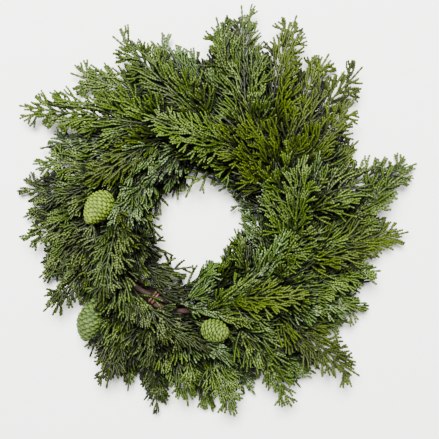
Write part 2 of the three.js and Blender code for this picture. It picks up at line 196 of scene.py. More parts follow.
class Shader:
    """A material's nodes."""

    def __init__(self, name: str) -> None:
        """Starts a material with one Principled shader.

        Args:
            name: The material's name.
        """
        self.material = bpy.data.materials.new(name)
        self.material.use_nodes = True
        self.tree = self.material.node_tree
        self.surface = self.tree.nodes["Principled BSDF"]

    def add(self, kind: str, settings: dict[str, Any], inputs: dict[Any, SocketValue],
            output: str | int = 0) -> Value:
        """Adds a node.

        Args:
            kind: The node's type.
            settings: Its properties, which are set first.
            inputs: The value or link of each socket, by name or number.
            output: The socket that is handed back, by name or number.

        Returns:
            That output.
        """
        node = self.tree.nodes.new(kind)
        for name, setting in settings.items():
            setattr(node, name, setting)
        for name, value in inputs.items():
            self._feed(node.inputs[name], value)
        return Value(self, node.outputs[output])

    def _feed(self, socket: bpy.types.NodeSocket, value: SocketValue) -> None:
        """Links or sets one input.

        Args:
            socket: The input.
            value: What it gets. A colour has three numbers.
        """
        if isinstance(value, Value):
            self.tree.links.new(value.socket, socket)
        elif socket.type == "RGBA":
            socket.default_value = (*value, 1.0)
        else:
            socket.default_value = value

    def set(self, **inputs: SocketValue) -> None:
        """Feeds the Principled shader. An underscore in a name stands for a space."""
        for name, value in inputs.items():
            self._feed(self.surface.inputs[name.replace("_", " ")], value)

    def vector(self, name: str) -> Value:
        """Reads the vector that the mesh keeps under a name."""
        return self.add("ShaderNodeAttribute", {"attribute_name": name}, {}, "Vector")

    def numbers(self, name: str) -> tuple[Value, ...]:
        """Reads that vector as three numbers."""
        first = self.add("ShaderNodeSeparateXYZ", {}, {0: self.vector(name)})
        return tuple(Value(self, output) for output in first.socket.node.outputs)

    def place(self) -> Value:
        """Reads the place on the object, in metres."""
        return self.add("ShaderNodeTexCoord", {}, {}, "Object")

    def noise(self, vector: Value, scale: float, detail: float = 2.0) -> Value:
        """Adds a noise from 0 to 1 with so many features to a unit."""
        return self.add("ShaderNodeTexNoise", {}, {"Vector": vector, "Scale": scale, "Detail": detail})

    def mix(self, share: Value, low: SocketValue, high: SocketValue) -> Value:
        """Goes from the low colour to the high one as the share goes from 0 to 1."""
        return self.add("ShaderNodeMix", {"data_type": "RGBA"}, {0: share, 6: low, 7: high}, 2)

    def bump(self, height: Value, millimetres: float, strength: float = 1.0) -> Value:
        """Turns a height from 0 to 1 into a normal."""
        return self.add("ShaderNodeBump", {}, {"Height": height, "Distance": millimetres * MM, "Strength": strength})


def linear(code: int) -> tuple[float, ...]:
    """Turns a colour such as 0x4C7A2C into the numbers that a shader takes."""
    parts = [(code >> shift & 0xFF) / 255 for shift in (16, 8, 0)]
    return tuple(c / 12.92 if c <= 0.04045 else ((c + 0.055) / 1.055) ** 2.4 for c in parts)


@dataclass(frozen=True)
class LeafFinish:
    """Scale leaves: overlapping chevrons with a painted highlight on their tips and ridges, whose tone varies from
    twig to twig.

    Its level goes from the shadow colour to the body colour, its painted highlight on to the light one, and its bloom
    to the waxy one. Painted shade darkens the gaps between leaf pairs, the sides of each shoot and what lies deep in
    the foliage.
    """

    name: str
    shadow: int
    body: int
    # light: the colour of the painted highlight on the leaves' tips and the shoot's ridge.
    light: int
    bloom: int
    bloom_share: float
    roughness: float = 0.46
    specular: float = 0.17
    chevron: float = 0.4
    patch_scale: float = 26.0
    bloom_scale: float = 60.0
    grain_scale: float = 700.0
    least_level: float = 0.15
    tint_level: float = 0.34
    patch_level: float = 0.85
    along_level: float = 0.52
    grain_level: float = 0.25
    # Weights of the painted highlight on the leaves' tips and the shoot's ridge.
    least_highlight: float = 0.1
    tip_highlight: float = 0.85
    ridge_highlight: float = 0.45
    level_highlight: float = 0.66
    # Weights of the painted shade in the gaps between leaf pairs, deep under the foliage above and on the shoot's
    # sides.
    gap_shade: float = 0.4
    shade_dark: float = 0.95
    side_shade: float = 0.4
    tip_height: float = 0.6
    ridge_height: float = 0.5
    grain_height: float = 0.12
    relief: float = 0.4
    relief_strength: float = 0.6
    roughness_varies: float = 0.2
    tip_ramp: tuple[float, float] = (0.3, 0.95)
    gap_ramp: tuple[float, float] = (0.0, 0.2)
    bloom_ramp: tuple[float, float] = (0.45, 0.62)

    def material(self) -> bpy.types.Material:
        """Makes the material.

        Returns:
            The material.
        """
        shader = Shader(self.name)
        tint, along, beads = shader.numbers("leaf")
        across, shade, _ = shader.numbers("side")
        place = shader.place()
        edge = (beads - self.chevron * abs(across)) % 1.0
        tipward = edge.ramp(*self.tip_ramp)
        gap = 1.0 - edge.ramp(*self.gap_ramp)
        patch = shader.noise(place, self.patch_scale)
        grain = shader.noise(place, self.grain_scale)
        level = (self.least_level + self.tint_level * tint + self.patch_level * (patch - 0.5)
                 + self.along_level * along + self.grain_level * (grain - 0.5)).clamped()
        base = shader.mix(level, linear(self.shadow), linear(self.body))
        ridge = 1.0 - abs(across)
        # Painted highlight: the leaves' tips and the shoot's ridge go toward the light colour, the more so where the
        # level is high.
        painted_highlight = ((self.least_highlight + self.tip_highlight * tipward + self.ridge_highlight * ridge)
                * (self.least_highlight + self.level_highlight * level))
        lit = shader.mix(painted_highlight.clamped(), base, linear(self.light))
        wax = self.bloom_share * tipward * shader.noise(place, self.bloom_scale).ramp(*self.bloom_ramp)
        waxed = shader.mix(wax.clamped(), lit, linear(self.bloom))
        # Painted shade: darker in the gaps between leaf pairs, deep under the foliage above and on the shoot's sides
        # beside its ridge.
        side = across * across
        dark = (self.gap_shade * gap + self.shade_dark * shade + self.side_shade * side).clamped()
        height = tipward * self.tip_height + self.ridge_height * ridge * edge + self.grain_height * grain
        shader.set(Base_Color=shader.mix(dark, waxed, linear(self.shadow)),
                   Roughness=self.roughness + self.roughness_varies * (grain - 0.5), Specular_IOR_Level=self.specular,
                   Normal=shader.bump(height, self.relief, self.relief_strength))
        return shader.material


@dataclass(frozen=True)
class BarkFinish:
    """Stringy bark: long fibres with dark cracks."""

    name: str
    crack: int
    body: int
    worn: int
    relief: float = 0.7
    roughness: float = 0.82
    specular: float = 0.3
    fibre_scale: float = 5.0
    strand_scale: float = 14.0
    patch_scale: float = 30.0
    mottling: float = 0.6
    crack_dark: float = 0.85
    fibre_height: float = 0.7
    strand_height: float = 0.3
    roughness_varies: float = 0.1
    fibre_detail: float = 6.0
    strand_detail: float = 4.0
    patch_detail: float = 3.0
    crack_ramp: tuple[float, float] = (0.34, 0.5)
    worn_ramp: tuple[float, float] = (0.3, 0.7)
    patch_ramp: tuple[float, float] = (0.35, 0.7)

    def material(self) -> bpy.types.Material:
        """Makes the material.

        Returns:
            The material.
        """
        shader = Shader(self.name)
        wrapped = shader.vector("bark")
        fibres = shader.noise(wrapped, self.fibre_scale, self.fibre_detail)
        strands = shader.noise(wrapped, self.strand_scale, self.strand_detail)
        patches = shader.noise(shader.place(), self.patch_scale, self.patch_detail)
        cracks = 1.0 - fibres.ramp(*self.crack_ramp)
        base = shader.mix(strands.ramp(*self.worn_ramp), linear(self.body), linear(self.worn))
        mottled = shader.mix(patches.ramp(*self.patch_ramp) * self.mottling, base, linear(self.crack))
        colour = shader.mix(cracks * self.crack_dark, mottled, linear(self.crack))
        height = self.fibre_height * fibres + self.strand_height * strands
        shader.set(Base_Color=colour, Roughness=self.roughness + self.roughness_varies * (strands - 0.5),
                   Specular_IOR_Level=self.specular, Normal=shader.bump(height, self.relief))
        return shader.material


@dataclass(frozen=True)
class ConeFinish:
    """Fresh cone scales: green faces with painted shade in the crevices under each lip and toward each scale's base,
    and paler lips that are partly a waxy bloom and partly a painted highlight.
    """

    name: str = "green cone"
    # The colour of the painted shade in the crevices under the scales' lips.
    joint: int = 0x1A2703
    face: int = 0x3F570C
    crown: int = 0x5E7810
    # The colour of the paler lips: partly a waxy bloom, partly a painted highlight.
    bloom: int = 0xA6B84E
    roughness: float = 0.6
    specular: float = 0.2
    grain_scale: float = 700.0
    patch_scale: float = 70.0
    own_level: float = 0.7
    patch_level: float = 0.7
    # Weight of the painted highlight that grows toward each scale's lip.
    tipward_highlight: float = 0.5
    level_drop: float = 0.1
    least_lip: float = 0.4
    grain_lip: float = 0.6
    least_bloom: float = 0.1
    own_bloom: float = 0.7
    # Weights of the painted shade in the crevice past each lower lip and toward each scale's base.
    crevice_shade: float = 0.9
    under_lip_shade: float = 0.5
    relief: float = 0.25
    relief_strength: float = 0.6
    roughness_varies: float = 0.2
    grain_detail: float = 3.0
    lip_ramp: tuple[float, float] = (0.5, 1.0)

    def material(self) -> bpy.types.Material:
        """Makes the material.

        Returns:
            The material.
        """
        shader = Shader(self.name)
        joint, tipward, own = shader.numbers("scale")
        place = shader.place()
        grain = shader.noise(place, self.grain_scale, self.grain_detail)
        patch = shader.noise(place, self.patch_scale)
        # Painted highlight: each face goes toward the crown colour toward its lip, over a tone that varies from scale
        # to scale.
        level = self.own_level * own + self.patch_level * (patch - 0.5) - self.level_drop + self.tipward_highlight * tipward
        crown = shader.mix(level.clamped(), linear(self.face), linear(self.crown))
        # The lips go paler: partly the waxy bloom, partly a painted highlight.
        lip = tipward.ramp(*self.lip_ramp) * (self.least_lip + self.grain_lip * grain)
        bloom = lip * (self.least_bloom + self.own_bloom * own)
        bloomed = shader.mix(bloom.clamped(), crown, linear(self.bloom))
        # Painted shade: dark in the crevice past each lower lip and toward each scale's base.
        shadow = self.crevice_shade * (1.0 - joint) + self.under_lip_shade * (1.0 - tipward)
        colour = shader.mix(shadow.clamped(), bloomed, linear(self.joint))
        shader.set(Base_Color=colour, Roughness=self.roughness + self.roughness_varies * (grain - 0.5),
                   Specular_IOR_Level=self.specular, Normal=shader.bump(grain, self.relief, self.relief_strength))
        return shader.material


@dataclass(frozen=True)
class FloorFinish:
    """Plain pale matt ground."""

    name: str = "pale ground"
    colour: int = 0xF0F1F2
    light: int = 0xF8F8F7
    roughness: float = 0.9
    grain_scale: float = 120.0
    grain_detail: float = 4.0
    relief: float = 0.4
    relief_strength: float = 0.4

    def material(self) -> bpy.types.Material:
        """Makes the material.

        Returns:
            The material.
        """
        shader = Shader(self.name)
        grain = shader.noise(shader.place(), self.grain_scale, self.grain_detail)
        colour = shader.mix(grain, linear(self.colour), linear(self.light))
        shader.set(Base_Color=colour, Roughness=self.roughness,
                   Normal=shader.bump(grain, self.relief, self.relief_strength))
        return shader.material


# Meshes


@dataclass
class Surface:
    """A mesh that grows by patches of four-cornered faces, each corner with numbers that its finish reads."""

    corners: list[Array] = field(default_factory=list)
    faces: list[Array] = field(default_factory=list)
    numbers: dict[str, list[Array]] = field(default_factory=dict)
    count: int = 0

    def add(self, corners: Array, faces: Array, **numbers: Array) -> None:
        """Adds a patch.

        Args:
            corners: Its corners, n by 3.
            faces: Their numbers round each face, m by 4, from 0 in this patch.
            numbers: Three numbers for each corner, under each name that a finish reads.
        """
        self.corners.append(corners)
        self.faces.append(faces + self.count)
        for name, rows in numbers.items():
            self.numbers.setdefault(name, []).append(rows)
        self.count += len(corners)

    def piece(self, name: str, material: bpy.types.Material, slot: str, replaced: Sequence[str] = ()) -> None:
        """Makes the object, sets it on the body and hides the solids that it stands for.

        Args:
            name: Its name.
            material: Its finish.
            slot: The record's slot for that finish. It is not used.
            replaced: The solids that it takes the place of.
        """
        mesh = bpy.data.meshes.new(name)
        corners = (np.concatenate(self.corners) + FOOTPRINT_SHIFT) * MM
        mesh.from_pydata(corners.tolist(), [], np.concatenate(self.faces).tolist())
        for key, rows in self.numbers.items():
            attribute = mesh.attributes.new(key, "FLOAT_VECTOR", "POINT")
            attribute.data.foreach_set("vector", np.concatenate(rows).astype(np.float32).ravel())
        mesh.polygons.foreach_set("use_smooth", np.ones(len(mesh.polygons), dtype=bool))
        mesh.materials.append(material)
        mesh.update()
        made = bpy.data.objects.new(name, mesh)
        bpy.context.scene.collection.objects.link(made)
        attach(made, BODY)
        if replaced:
            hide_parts(*replaced)
        log.info("%s: %d four-sided faces", name, len(mesh.polygons))


def tube_faces(rings: int, sides: int) -> Array:
    """Joins rings of corners into a closed tube with four-sided ends.

    Args:
        rings: How many rings.
        sides: How many corners each has, in turn about the way forward.

    Returns:
        The faces, n by 4.
    """
    ring, side = np.meshgrid(np.arange(rings - 1), np.arange(sides), indexing="ij")
    near = (ring * sides + side).ravel()
    after = (ring * sides + (side + 1) % sides).ravel()
    walls = np.stack([near, after, after + sides, near + sides], axis=1)
    fan = [(0, i, i + 1, i + 2) for i in range(1, sides - 2, 2)]
    last = (rings - 1) * sides
    start = [(a, d, c, b) for a, b, c, d in fan]
    end = [(a + last, b + last, c + last, d + last) for a, b, c, d in fan]
    return np.concatenate([walls, np.array(start), np.array(end)])


# The vine ring


@dataclass(frozen=True)
class Bundle:
    """The bundle of vine: where its strands, tendrils and the feet of the stems lie."""

    radius: float = 128.0
    strands: int = 4
    strand_offset: float = 8.0
    vine_radius: float = 4.0
    twist: float = 3.5
    vine_end_gap: float = 5.0
    tendril_radius: float = 1.5
    tendril_offset: float = 14.5
    foot_cut: float = 0.4
    foot_offset: float = 2.4
    exit_offset: float = 17.0
    foot_steps: int = 3
    lean: float = 45.0
    stem_pull: float = 0.36

    @property
    def height(self) -> float:
        """The middle of the bundle above what the wreath lies on."""
        return self.tendril_offset + self.tendril_radius - self.foot_cut

    def at(self, angle: Any, offset: Any, phase: Any) -> Array:
        """Finds a point.

        Args:
            angle: Round the ring.
            offset: From the middle of the bundle.
            phase: Round the bundle, 0 outward and 90 up.

        Returns:
            The point, or n by 3 for arrays.
        """
        out = self.radius + offset * np.cos(np.radians(phase))
        up = self.height + offset * np.sin(np.radians(phase))
        return np.stack([out * np.cos(np.radians(angle)), out * np.sin(np.radians(angle)), up + 0 * out], axis=-1)

    def offset_of(self, points: Array) -> Array:
        """Measures how far points are from the middle of the bundle."""
        return np.hypot(np.hypot(points[..., 0], points[..., 1]) - self.radius, points[..., 2] - self.height)

    def nearest_gap(self, angle: float, phase: float) -> float:
        """Finds the phase of the gap between two strands that lies nearest to a phase.

        Args:
            angle: Round the ring.
            phase: Round the bundle.

        Returns:
            The gap's phase.
        """
        apart = 360 / self.strands
        first = apart / 2 + self.twist * angle
        return first + rounded((phase - first) / apart) * apart

    def stem_path(self, angle: float, phase: float, tip: Array, tip_way: Array, step: float) -> Array:
        """Routes a stem from between two strands to its tip.

        Args:
            angle: Where it leaves the ring.
            phase: The side of the bundle where it does.
            tip: Where it ends.
            tip_way: The direction in which it ends.
            step: The distance between its points.

        Returns:
            Its points, n by 3.
        """
        gap = self.nearest_gap(angle, phase)
        lean = math.degrees(1 / math.tan(math.radians(self.lean)) / self.radius)

        def foot(offset: float) -> Array:
            """Finds the point of the foot at an offset."""
            slide = (offset - self.exit_offset) * lean
            return self.at(angle + slide, offset, gap + self.twist * slide)

        depth = self.exit_offset - self.foot_offset
        feet = [foot(self.foot_offset + depth * i / self.foot_steps) for i in range(self.foot_steps)]
        leave = foot(self.exit_offset)
        leave_way = unit(leave - foot(self.exit_offset - 1))
        span = np.linalg.norm(leave - tip)
        pull = self.stem_pull * span
        share = np.linspace(0, 1, rounded(span / step) + 1)[:, None]
        curve = (
            (1 - share) ** 3 * leave
            + 3 * (1 - share) ** 2 * share * (leave + leave_way * pull)
            + 3 * (1 - share) * share**2 * (tip - tip_way * pull)
            + share**3 * tip
        )
        return np.concatenate([feet, curve])


BUNDLE = Bundle()


@dataclass
class VineRing:
    """Two vines that twist about each other, and the tendrils that bind them."""

    vine_steps: int = 460
    vine_sides: int = 12
    slimness: float = 0.97
    ridge: float = 0.09
    fine_ridge_share: float = 0.6
    ridge_counts: tuple[int, int] = (3, 5)
    ridge_twist: float = 0.011
    ridge_drift: float = 0.02
    knot_every: float = 74.0
    knot_shift: float = 31.0
    knot_half_width: float = 3.2
    knot_rise: float = 0.22
    bark_pitch: float = 0.035
    bark_turn: float = 3.0
    tendril_at: tuple[float, ...] = (110.0, 236.0, 350.0)
    tendril_turns: float = 1.85
    tendril_pitch: float = 4.6
    tendril_steps: int = 72
    tendril_test_steps: int = 21
    tendril_sides: int = 8
    tendril_waves: float = 29.0
    tendril_waviness: float = 0.08
    tendril_taper: float = 0.35
    bark: BarkFinish = BarkFinish("vine bark", 0x120A09, 0x2C1B19, 0x4E3833)
    skin: BarkFinish = BarkFinish("tendril skin", 0x2E1A16, 0x5E382D, 0x8A6052, relief=0.2, roughness=0.6)

    def place(self, placed: "Placed") -> None:
        """Puts the tendrils in place for the sprays to avoid."""
        for angle in self.tendril_at:
            placed.add_path(self._tendril_path(angle, self._turns(self.tendril_test_steps)), BUNDLE.tendril_radius)

    def build(self) -> None:
        """Makes the vines and the tendrils."""
        bark, skin = self.bark.material(), self.skin.material()
        for index in (0, 1):
            self._vine(index).piece(f"bark_vine_{index + 1}", bark, "vine_bark", [f"vine_{index + 1}"])
        for index, angle in enumerate(self.tendril_at, 1):
            self._tendril(angle).piece(f"curled_tendril_{index}", skin, "tendril_bark", [f"tendril_{index}"])

    def _tube(self, path: Array, radii: Array, shift: float) -> Surface:
        """Makes a tube with the numbers that its bark reads.

        Args:
            path: Its middle line, n by 3.
            radii: Its radius at each point and side, n by the count of sides.
            shift: Shifts the bark's pattern.

        Returns:
            The surface.
        """
        ways = units(np.gradient(path, axis=0))
        lefts = np.zeros_like(path)
        left = unit(np.cross(UP, ways[0]) + 1e-6)
        for i, way in enumerate(ways):
            left = unit(left - way * (left @ way))
            lefts[i] = left
        ups = np.cross(ways, lefts)
        sides = radii.shape[1]
        turn = 2 * np.pi * np.arange(sides) / sides
        spokes = lefts[:, None] * np.cos(turn)[:, None] + ups[:, None] * np.sin(turn)[:, None]
        corners = path[:, None] + spokes * radii[..., None]
        corners[..., 2] = np.maximum(corners[..., 2], 0.0)
        run = np.concatenate([[0], np.cumsum(np.linalg.norm(np.diff(path, axis=0), axis=1))])
        wrap = (np.cos(turn)[None] + shift, np.sin(turn)[None], run[:, None] * self.bark_pitch)
        surface = Surface()
        surface.add(corners.reshape(-1, 3), tube_faces(len(path), sides),
                    bark=np.stack(np.broadcast_arrays(*wrap), -1).reshape(-1, 3))
        return surface

    def _vine(self, index: int) -> Surface:
        """Makes a vine, with ridges and knots.

        Args:
            index: The strand at whose place it starts.

        Returns:
            The surface.
        """
        first = index * 360 / BUNDLE.strands
        share = np.linspace(0, 1, self.vine_steps)
        angle = first + BUNDLE.vine_end_gap + (720 - 2 * BUNDLE.vine_end_gap) * share
        path = BUNDLE.at(angle, BUNDLE.strand_offset, first + BUNDLE.twist * angle)
        run = np.radians(angle) * BUNDLE.radius
        turn = 2 * np.pi * np.arange(self.vine_sides) / self.vine_sides
        twisted = turn[None] + run[:, None] * self.ridge_twist
        coarse, fine = self.ridge_counts
        ridges = (np.sin(coarse * twisted + index)
                  + self.fine_ridge_share * np.sin(fine * twisted + self.ridge_drift * run[:, None]))
        from_knot = (run + self.knot_shift * index) % self.knot_every - self.knot_every / 2
        knots = np.exp(-((from_knot / self.knot_half_width) ** 2))
        relief = self.ridge * ridges / (1 + self.fine_ridge_share) + self.knot_rise * knots[:, None]
        return self._tube(path, BUNDLE.vine_radius * (self.slimness + relief), self.bark_turn * index)

    def _turns(self, steps: int) -> Array:
        """Spaces the turns of a tendril about the bundle, with its middle at 0."""
        return self.tendril_turns * (np.linspace(0, 1, steps) - 0.5)

    def _tendril_path(self, angle: float, turns: Array) -> Array:
        """Routes the tendril that binds the bundle at an angle."""
        pitch = math.degrees(self.tendril_pitch / BUNDLE.radius)
        return BUNDLE.at(angle + pitch * turns, BUNDLE.tendril_offset, 360 * turns - 90)

    def _tendril(self, angle: float) -> Surface:
        """Makes a tendril, which is slimmer at its ends.

        Args:
            angle: Where it binds the bundle.

        Returns:
            The surface.
        """
        turns = self._turns(self.tendril_steps)
        from_middle = np.abs(2 * turns / self.tendril_turns)
        swell = 1 + self.tendril_waviness * np.sin(turns * self.tendril_waves) - self.tendril_taper * from_middle**6
        radii = BUNDLE.tendril_radius * np.repeat(swell[:, None], self.tendril_sides, axis=1)
        return self._tube(self._tendril_path(angle, turns), radii, angle)


# Foliage


class Form(Enum):
    """What a leafy shoot is, with its half width, the length of its leaves and how it ends."""

    LEADER = (2.4, 4.0, 0.7)
    BRANCH = (2.1, 4.1, 0.72)
    TWIG = (1.98, 3.9, 0.74)
    FORK = (1.86, 3.8, 0.74)

    @property
    def half_width(self) -> float:
        """Half of its width."""
        return self.value[0]

    @property
    def leaf(self) -> float:
        """The length of a pair of leaves along it."""
        return self.value[1]

    @property
    def tip_share(self) -> float:
        """Its width at the tip against that in the middle."""
        return self.value[2]


def smoothed(points: Array, lefts: Array, parts: int = 3) -> tuple[Array, Array]:
    """Adds points along a smooth curve through the given ones.

    Args:
        points: The points, n by 3.
        lefts: The direction of the left side at each.
        parts: How many parts each span is cut into.

    Returns:
        The points of the curve and their directions.
    """
    before = np.concatenate([points[:1], points[:-2], points[-3:-2]])[: len(points) - 1]
    after = np.concatenate([points[2:], points[-1:]])
    share = (np.arange(parts) / parts)[None, :, None]
    p0, p1, p2, p3 = before[:, None], points[:-1, None], points[1:, None], after[:, None]
    curve = 0.5 * (2 * p1 + (p2 - p0) * share + (2 * p0 - 5 * p1 + 4 * p2 - p3) * share**2
                   + (3 * p1 - p0 - 3 * p2 + p3) * share**3)
    turn = lefts[:-1, None] + (lefts[1:, None] - lefts[:-1, None]) * share
    return (np.concatenate([curve.reshape(-1, 3), points[-1:]]),
            np.concatenate([turn.reshape(-1, 3), lefts[-1:]]))


@dataclass
class Shoot:
    """A leafy shoot: its middle line with the direction of its left side at each point."""

    points: Array
    lefts: Array
    form: Form
    tint: float

    POINT_GAP = 8.0
    SHADED_LEAF = 1.9
    SIDE_LEAF_TIP = 0.74
    NARROW = 0.8
    WIDE = 1.16
    THICKNESS = 0.5
    FOOT_WIDTH = 0.72
    FOOT_SWELL = 3.0
    END_WIDTH = 0.55

    def __post_init__(self) -> None:
        """Measures the shoot."""
        self.length = float(np.linalg.norm(np.diff(self.points, axis=0), axis=1).sum())

    def axes(self, share: float) -> Axes:
        """Finds a point of the shoot and its directions.

        Args:
            share: Its share of the length.

        Returns:
            The point with its directions.
        """
        place = min(max(share, 0.0), 1.0) * (len(self.points) - 1)
        i = min(int(place), len(self.points) - 2)
        way = unit(self.points[i + 1] - self.points[i])
        left = mixed(self.lefts[i], self.lefts[i + 1], place - i)
        left = unit(left - way * (left @ way))
        return Axes(mixed(self.points[i], self.points[i + 1], place - i), way, left, np.cross(way, left))

    @classmethod
    def bowed(cls, axes: Axes, length: float, bow: float, sag: float, form: Form, tint: float) -> "Shoot":
        """Makes a shoot that ends where a straight one would, and bows on its way.

        Args:
            axes: Where it starts, and its directions.
            length: How long it is.
            bow: How far its middle stands to its left, against its length.
            sag: The same upward.
            form: What it is.
            tint: Its tone, from -1 to 1.

        Returns:
            The shoot.
        """
        share = np.linspace(0, 1, max(3, rounded(length / cls.POINT_GAP) + 1))[:, None]
        arch = 4 * share * (1 - share) * length
        points = axes.at + axes.way * length * share + (axes.left * bow + axes.up * sag) * arch
        return cls(points, np.repeat(axes.left[None], len(points), axis=0), form, tint)

    def along(self, rows: Array, share: Array) -> Array:
        """Reads a row for each point of the shoot at shares of the length."""
        grid = np.linspace(0, 1, len(self.points))
        return np.stack([np.interp(share, grid, rows[:, k]) for k in range(3)], axis=1)

    def dress(self, surface: Surface, canopy: "Canopy") -> None:
        """Adds its leaves to a surface: scales in crossed pairs, one pair to the sides and one to the faces.

        Args:
            surface: What they are added to.
            canopy: The foliage that shades it. Deep in its shade the leaves are drawn longer.
        """
        drawn = 1 + self.SHADED_LEAF * canopy.shade(self.points).mean() ** 2
        pairs = max(2, rounded(self.length / (self.form.leaf * drawn)))
        start = np.arange(pairs) / pairs
        share = np.append(np.stack([start, start + self.SIDE_LEAF_TIP / pairs], axis=1).ravel(), 1.0)
        proud = np.append(np.tile([0.0, 1.0], pairs), 0.0)
        middle = self.along(self.points, share)
        way = units(self.along(np.gradient(self.points, axis=0), share))
        left = self.along(self.lefts, share)
        left = units(left - way * (left * way).sum(axis=1)[:, None])
        up = np.cross(way, left)
        taper = np.minimum(self.FOOT_WIDTH + self.FOOT_SWELL * share, 1.0)
        taper *= 1 - (1 - self.form.tip_share) * share**3
        taper[-1] *= self.END_WIDTH
        half = self.form.half_width
        aside = left * (half * taper * mixed(self.NARROW, self.WIDE, proud))[:, None]
        upward = up * (half * self.THICKNESS * taper * mixed(self.WIDE, self.NARROW, proud))[:, None]
        corners = np.stack([middle + aside, middle + upward, middle - aside, middle - upward], axis=1)
        leaf = np.stack(np.broadcast_arrays(self.tint, share, share * pairs), axis=1)
        across = np.tile([1.0, 0.0, -1.0, 0.0], len(share))
        # How deep each ring lies under the foliage above; the finish paints it as shade.
        shade = np.repeat(canopy.shade(middle), 4)
        surface.add(
            corners.reshape(-1, 3),
            tube_faces(len(share), 4),
            leaf=np.repeat(leaf, 4, axis=0),
            side=np.stack([across, shade, 0 * across], axis=1),
        )


class Canopy:
    """How much foliage stands over each place, counted in cells."""

    LOW = np.array((-336.0, -336.0, 0.0))
    CELL = np.array((8.0, 8.0, 6.0))
    CELLS = (84, 84, 22)
    STEP = 4.0
    OWN_LAYERS = 2

    def __init__(self, full: float) -> None:
        """Starts empty.

        Args:
            full: The millimetres of shoot over a cell that make for about two thirds of full shade.
        """
        self.full = full
        self.lengths = np.zeros(self.CELLS)
        self.above = np.zeros(self.CELLS)

    def _cells(self, points: Array) -> tuple[Array, ...]:
        """Finds the cells of points."""
        cells = ((points - self.LOW) / self.CELL).astype(int)
        return tuple(np.clip(cells, 0, np.array(self.CELLS) - 1).T)

    def add(self, shoot: Shoot) -> None:
        """Counts a shoot.

        Args:
            shoot: What is counted.
        """
        count = max(2, rounded(shoot.length / self.STEP))
        points = shoot.along(shoot.points, (np.arange(count) + 0.5) / count)
        np.add.at(self.lengths, self._cells(points), shoot.length / count)

    def settle(self) -> None:
        """Sums what stands over each cell, evened out over its neighbours."""
        rolls = [(i, j) for i in (-1, 0, 1) for j in (-1, 0, 1)]
        even = sum(np.roll(self.lengths, roll, (0, 1)) for roll in rolls) / len(rolls)
        down = np.cumsum(even[..., ::-1], axis=2)[..., ::-1]
        self.above[..., : -self.OWN_LAYERS] = down[..., self.OWN_LAYERS :]

    def shade(self, points: Array) -> Array:
        """Finds how deep points lie in the shade, from 0 to 1."""
        return 1 - np.exp(-self.above[self._cells(points)] / self.full)


class Placed:
    """Round-ended pieces that are already in place, each with the number of its shoot."""

    ROOM = 4096

    def __init__(self) -> None:
        """Starts with none."""
        self.starts = np.zeros((self.ROOM, 3))
        self.ends = np.zeros((self.ROOM, 3))
        self.radii = np.zeros(self.ROOM)
        self.shoots = np.zeros(self.ROOM, dtype=int)
        self.count = 0

    def add(self, start: Array, end: Array, radius: float, shoot: int = -1) -> None:
        """Puts a piece in place.

        Args:
            start: One end of its middle line.
            end: The other end.
            radius: Its radius.
            shoot: The number of the shoot that it belongs to.
        """
        i = self.count
        self.starts[i], self.ends[i], self.radii[i], self.shoots[i] = start, end, radius, shoot
        self.count += 1

    def add_path(self, path: Array, radius: float) -> None:
        """Puts the pieces of a path in place."""
        for start, end in zip(path[:-1], path[1:]):
            self.add(start, end, radius)

    def is_clear(self, start: Array, end: Array, radius: float, clearance: float, parent: int = -2) -> bool:
        """Tests a piece against all that is in place.

        Args:
            start: One end of its middle line.
            end: The other end.
            radius: Its radius.
            clearance: The gap that it needs.
            parent: The number of the shoot that it may touch.

        Returns:
            Whether it is clear.
        """
        n = self.count
        u = end - start
        v = self.ends[:n] - self.starts[:n]
        w = start - self.starts[:n]
        uu, uv, vv, uw, vw = u @ u, v @ u, (v * v).sum(1), w @ u, (v * w).sum(1)
        den = uu * vv - uv * uv
        slanted = den > 1e-9
        s = np.where(slanted, np.clip((uv * vw - vv * uw) / np.where(slanted, den, 1), 0, 1), 0)
        t = np.clip((uv * s + vw) / vv, 0, 1)
        s = np.clip((uv * t - uw) / uu, 0, 1)
        gap = np.linalg.norm(w + u * s[:, None] - v * t[:, None], axis=1)
        return bool(np.all((self.shoots[:n] == parent) | (gap >= radius + self.radii[:n] + clearance)))


class Core(NamedTuple):
    """The line inside a cone that its rounded body surrounds, and that body's radius."""

    start: Array
    end: Array
    radius: float

    def away(self, points: Array) -> Array:
        """Finds the way from the nearest spot of the line to each point.

        Args:
            points: The points, n by 3.

        Returns:
            The ways, n by 3.
        """
        line = self.end - self.start
        share = np.clip((points - self.start) @ line / (line @ line), 0, 1)
        return points - self.start - share[:, None] * line

    def holds(self, points: Array, margin: float) -> bool:
        """Tests whether any of the points is in the body or within a margin of it."""
        return bool((np.linalg.norm(self.away(points), axis=1) < self.radius + margin).any())

    def hidden_by(self, points: Array, margin: float) -> bool:
        """Tests whether any of the points stands over the body or within a margin of its outline.

        Args:
            points: The points, n by 3.
            margin: The margin, seen from above.

        Returns:
            Whether one does.
        """
        away = self.away(points)
        level = np.hypot(away[:, 0], away[:, 1])
        return bool(((level < self.radius + margin) & (away[:, 2] > 0)).any())


class Side(NamedTuple):
    """A straight side shoot of the solids."""

    axes: Axes
    length: float
    leftward: bool
    number: int
    step: int
    twigs: list[tuple[float, "Side"]]


class SprayKind(NamedTuple):
    """How the sprays of one kind grow: the side of the bundle, the fall of the tip and the step between branches."""

    phase: float
    droop: float
    step: float


class SprayPlace(NamedTuple):
    """Where a spray leaves the ring, the way to its tip from there, its reach and its tip's height."""

    at: float
    aim: float
    reach: float
    height: float


@dataclass
class Stem:
    """The stem of one spray of the solids, with its branches."""

    name: str
    number: int
    reach: float
    draw: Draws
    frames: list[Axes]
    branches: list[Side] = field(default_factory=list)


def evenly(count: int, first: float, span: float = 360) -> list[float]:
    """Spaces angles evenly over a span of the ring."""
    return [first + span * i / count for i in range(count)]


